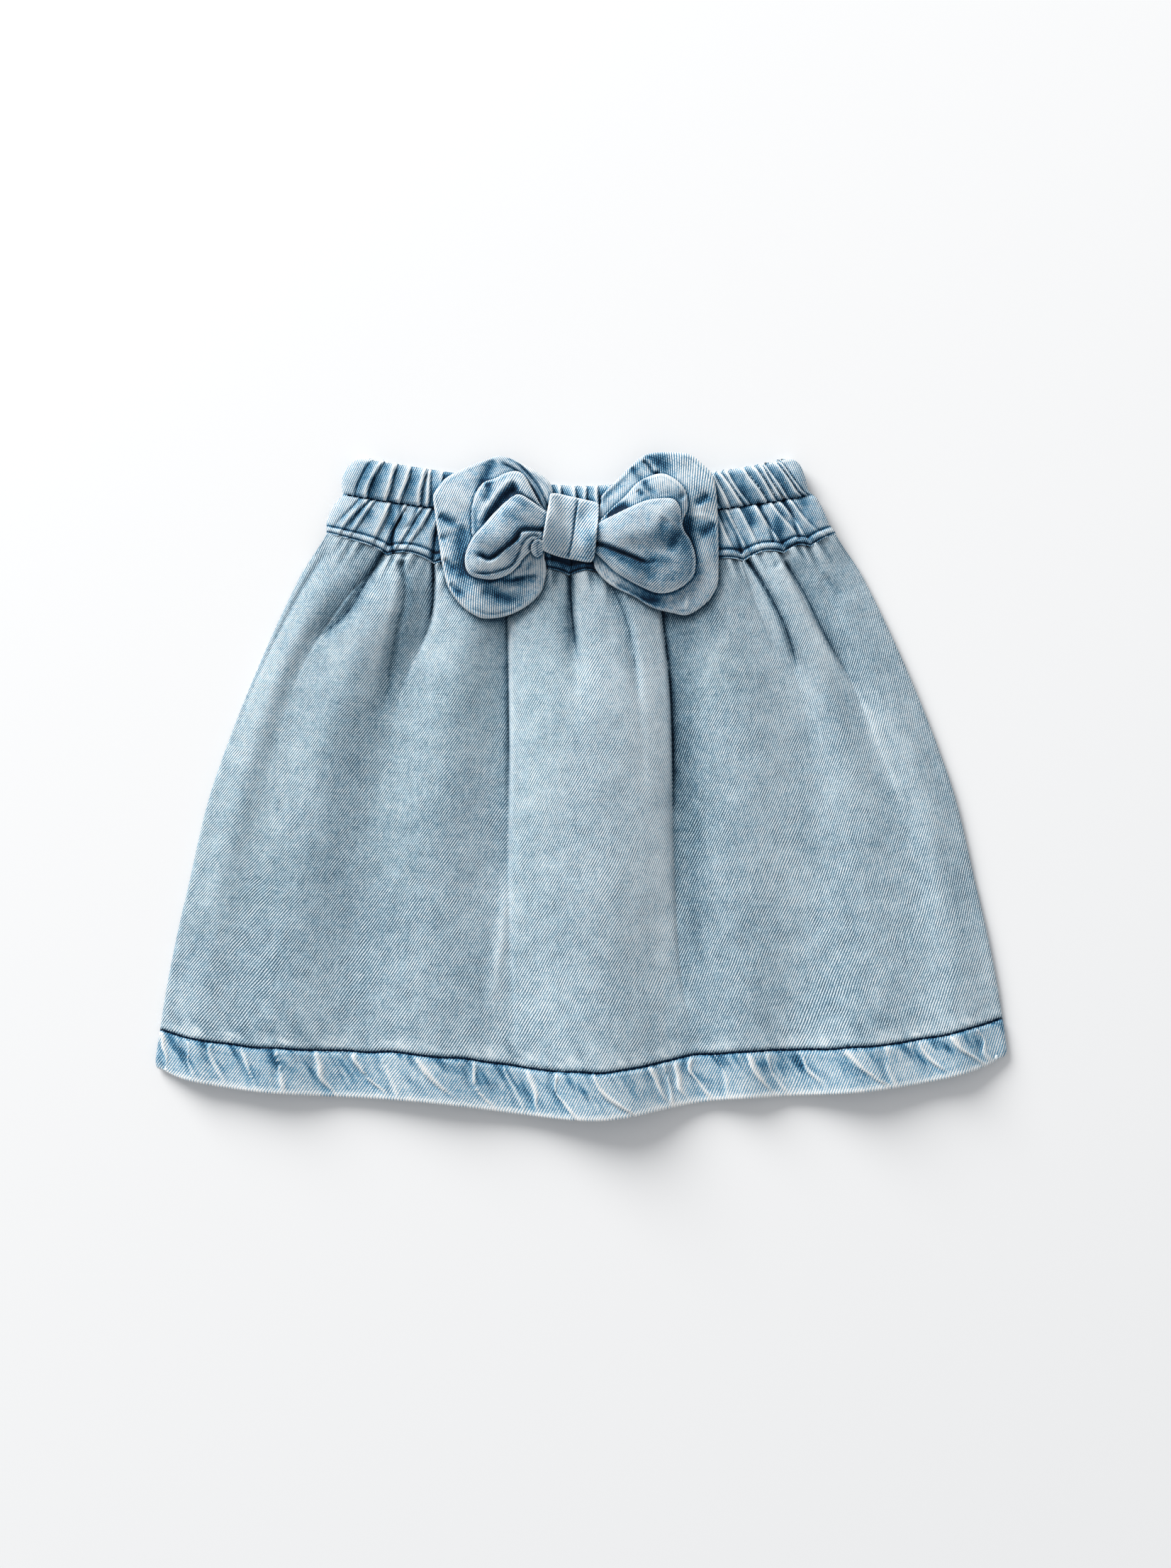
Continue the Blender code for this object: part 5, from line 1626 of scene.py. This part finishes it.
def bag(facts, bed, finish):
    """A sewn bag of the bow: two cloths with a rounded edge, puffed up and creased, on what it lies on."""
    name, layer, hub, rim = (facts[key] for key in ("name", "layer", "hub", "rim"))
    shape = bmesh.new()
    bmesh.ops.create_uvsphere(shape, u_segments=BAG_ROUNDS[layer], v_segments=BAG_RINGS[layer], radius=1.0)
    mesh = mesh_from(name, shape)
    unit = corners_of(mesh)
    around = np.arctan2(unit[:, 1], unit[:, 0])
    fall = np.arccos(np.clip(unit[:, 2], -1, 1)) / (math.pi / 2)
    upper = fall <= BAG_TOP_SHARE + 0.0001
    near = np.where(upper, fall / BAG_TOP_SHARE, (2 - fall) / (2 - BAG_TOP_SHARE))
    reach = outline_reach(facts["outline"], hub, around) * BAG_SHRINK
    turn = np.clip((near - BAG_EDGE) / (1 - BAG_EDGE), 0, 1) * math.pi / 2
    distance = np.clip(near / BAG_EDGE, 0, 1) * (reach - rim) + rim * np.sin(turn)
    x, y = hub[0] + distance * np.cos(around), hub[1] + distance * np.sin(around)

    share = distance / reach
    edge = (1 - share) * reach
    inside = smooth(edge / 1.4)
    creased = sum(press(x, y, crease) for crease in facts["creases"])
    creased = creased + 0.16 * drift(x, y, 13, 31) + 0.07 * drift(x, y, 5, 32)
    drawn = 1.0 if name == "knot" else drawn_in(x, y)
    puff = facts["puff"] * (1 - np.clip(share, 0, 1) ** BAG_FLATNESS) ** BAG_FULLNESS * drawn
    base = bed.under(x, y) + rim
    foot = base - rim * np.cos(turn)
    top = base + rim * np.cos(turn) + puff + creased * (0.15 + 0.85 * inside)
    z = np.where(upper, np.maximum(top, foot + 0.5 * np.cos(turn)), foot)
    move_corners(mesh, np.stack([x, y, z], axis=1))

    worn, dye_and_shade = bag_wash(facts, x, y, edge, inside, creased, puff)
    scale = facts.get("fine", BAG_CLOTH_SCALE)
    plan = turned_plan(x - hub[0], y - hub[1], facts["weave"]) * scale + np.array(hub)
    only_row = np.zeros(len(x), dtype=int)
    dress(mesh, only_row, np.arange(len(x)), plan[None], {"worn": worn[None], "dye_and_shade": dye_and_shade[None]})
    return put(placed(name, mesh), finish)


def bow(finish, front, band):
    """The layers of the bow, each on a bed over all that was made before it."""
    made = []
    for layer, (bridge, rounds) in enumerate(zip(BED_BRIDGE, BED_ROUNDS)):
        bed = Bed([front, band, *made], BOW_LEVEL, bridge, rounds)
        made += [bag(facts, bed, finish) for facts in BOW if facts["layer"] == layer]
    return {piece.name: piece for piece in made}


class BackFace:
    """The back's outer face, which lies flat and looks down. It answers as a Ground does."""

    @staticmethod
    def feel(x, y):
        return Vector((x * MM, y * MM, BACK_FACE_Z * MM)), Vector((0, 0, -1))


def stitch_row(name, route, ground, finish, length=STITCH_LENGTH, step=STITCH_STEP):
    """A row of stitches along a line over finished cloth, each a short grain of thread sunk into it."""
    runs = np.concatenate([[0.0], np.cumsum(np.linalg.norm(np.diff(route, axis=0), axis=1))])
    shape = bmesh.new()
    chance = random.Random(len(route))
    for number in range(int(runs[-1] / step)):
        middle = (number + 0.5) * step
        spots = []
        for place in (middle - length / 2, middle, middle + length / 2):
            spots.append(ground.feel(*(np.interp(place, runs, route[:, axis]) for axis in range(2))))
        if not all(spots):
            continue
        (start, _), (centre, normal), (stop, _) = spots
        heading = stop - start
        normal = (normal - heading * (normal.dot(heading) / heading.length_squared)).normalized()
        side = heading.normalized().cross(normal)
        size = THREAD / 2 * MM * chance.uniform(*THREAD_UNEVEN)
        centre = (start + stop) / 4 + centre / 2 + normal * size * STITCH_PROUD
        columns = (side * size, normal * size, heading / 2, centre)
        matrix = Matrix([[column[axis] for column in columns] for axis in range(3)] + [(0, 0, 0, 1)])
        bmesh.ops.create_uvsphere(shape, u_segments=8, v_segments=6, radius=1.0, matrix=matrix)
    mesh = mesh_from(name, shape)
    mesh.shade_smooth()
    return put(placed(name, mesh), finish)


def hem_route(inset=1.5):
    """The hem's stitched line, which ends inside both sides."""
    u = np.linspace(-1, 1, 201)
    half = half_width(np.array([HEM_AT]))[0] - inset
    return np.stack([u * half, hem_y(u) + hem_depth(u)], axis=1)


def casing_route(reach=0.985):
    """The casing's stitched line, over a share of the band's width."""
    u = np.linspace(-reach, reach, 161)
    return band_xy(u, np.full_like(u, STITCH_W))


def camera_and_light():
    scene = bpy.context.scene
    data = bpy.data.cameras.new("camera")
    data.lens, data.sensor_width = LENS, SENSOR
    data.clip_start, data.clip_end = 0.05, 20
    scene.camera = placed("camera", data)
    scene.camera.location = CAMERA_PLACE
    lamp = bpy.data.lights.new("key", "AREA")
    lamp.shape, lamp.size, lamp.energy, lamp.color = "DISK", KEY_SIZE, KEY_POWER, KEY_COLOUR
    light = placed("key", lamp)
    light.location = KEY_PLACE
    light.rotation_euler = (-Vector(KEY_PLACE)).to_track_quat("-Z", "Y").to_euler()
    world = bpy.data.worlds.new("studio")
    world.use_nodes = True
    sky = world.node_tree.nodes["Background"]
    sky.inputs[0].default_value = SKY_COLOUR
    sky.inputs[1].default_value = SKY_STRENGTH
    scene.world = world
    scene.view_settings.view_transform = "Standard"


def pale_floor():
    shape = bmesh.new()
    bmesh.ops.create_grid(shape, x_segments=1, y_segments=1, size=FLOOR_HALF)
    floor = placed("floor", mesh_from("floor", shape))
    f = Finish("pale_floor")
    f.give(f.shader, "Base Color", FLOOR_COLOUR)
    f.gloss(roughness=0.9, specular=0.2)
    floor.data.materials.append(f.material)


def main():
    camera_and_light()
    pale_floor()
    body = denim("washed_denim", tone=0.61, line=0.32)
    reverse = denim("denim_reverse", tone=0.74, line=0.10, mottle=0.06)
    hem_cloth = denim("hem_denim", tone=0.675, line=0.23, mottle=0.25, wash=BOLD_WASH)
    band = denim("band_denim", tone=0.685, line=0.28, mottle=0.22, wash=BOLD_WASH)
    bow_cloth = denim("bow_denim", tone=0.69, line=0.33, mottle=0.3, wash=BOLD_WASH)
    thread = thread_finish()
    front, hem = front_panel(body, hem_cloth, reverse)
    back = back_panel(body, reverse)
    band_front = waistband_front(band, reverse)
    band_back = waistband_back(band, reverse)
    bags = bow(bow_cloth, front, band_front)
    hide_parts("front_panel")
    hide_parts("back_panel")
    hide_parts("waistband_front")
    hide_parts("waistband_back")
    for side in ("left", "right"):
        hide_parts(f"bow_outer_{side}")
        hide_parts(f"bow_inner_{side}")
    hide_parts("bow_knot")

    cloth, back_face = Ground(front, hem, band_front), BackFace()
    casing = {"length": CASING_STITCH_LENGTH, "step": CASING_STITCH_STEP}
    stitch_row("hem_stitches", hem_route(), cloth, thread)
    stitch_row("casing_stitches", casing_route(), cloth, thread, **casing)
    stitch_row("back_hem_stitches", hem_route(3.0), back_face, thread)
    stitch_row("back_casing_stitches", casing_route(0.97), back_face, thread, **casing)


main()
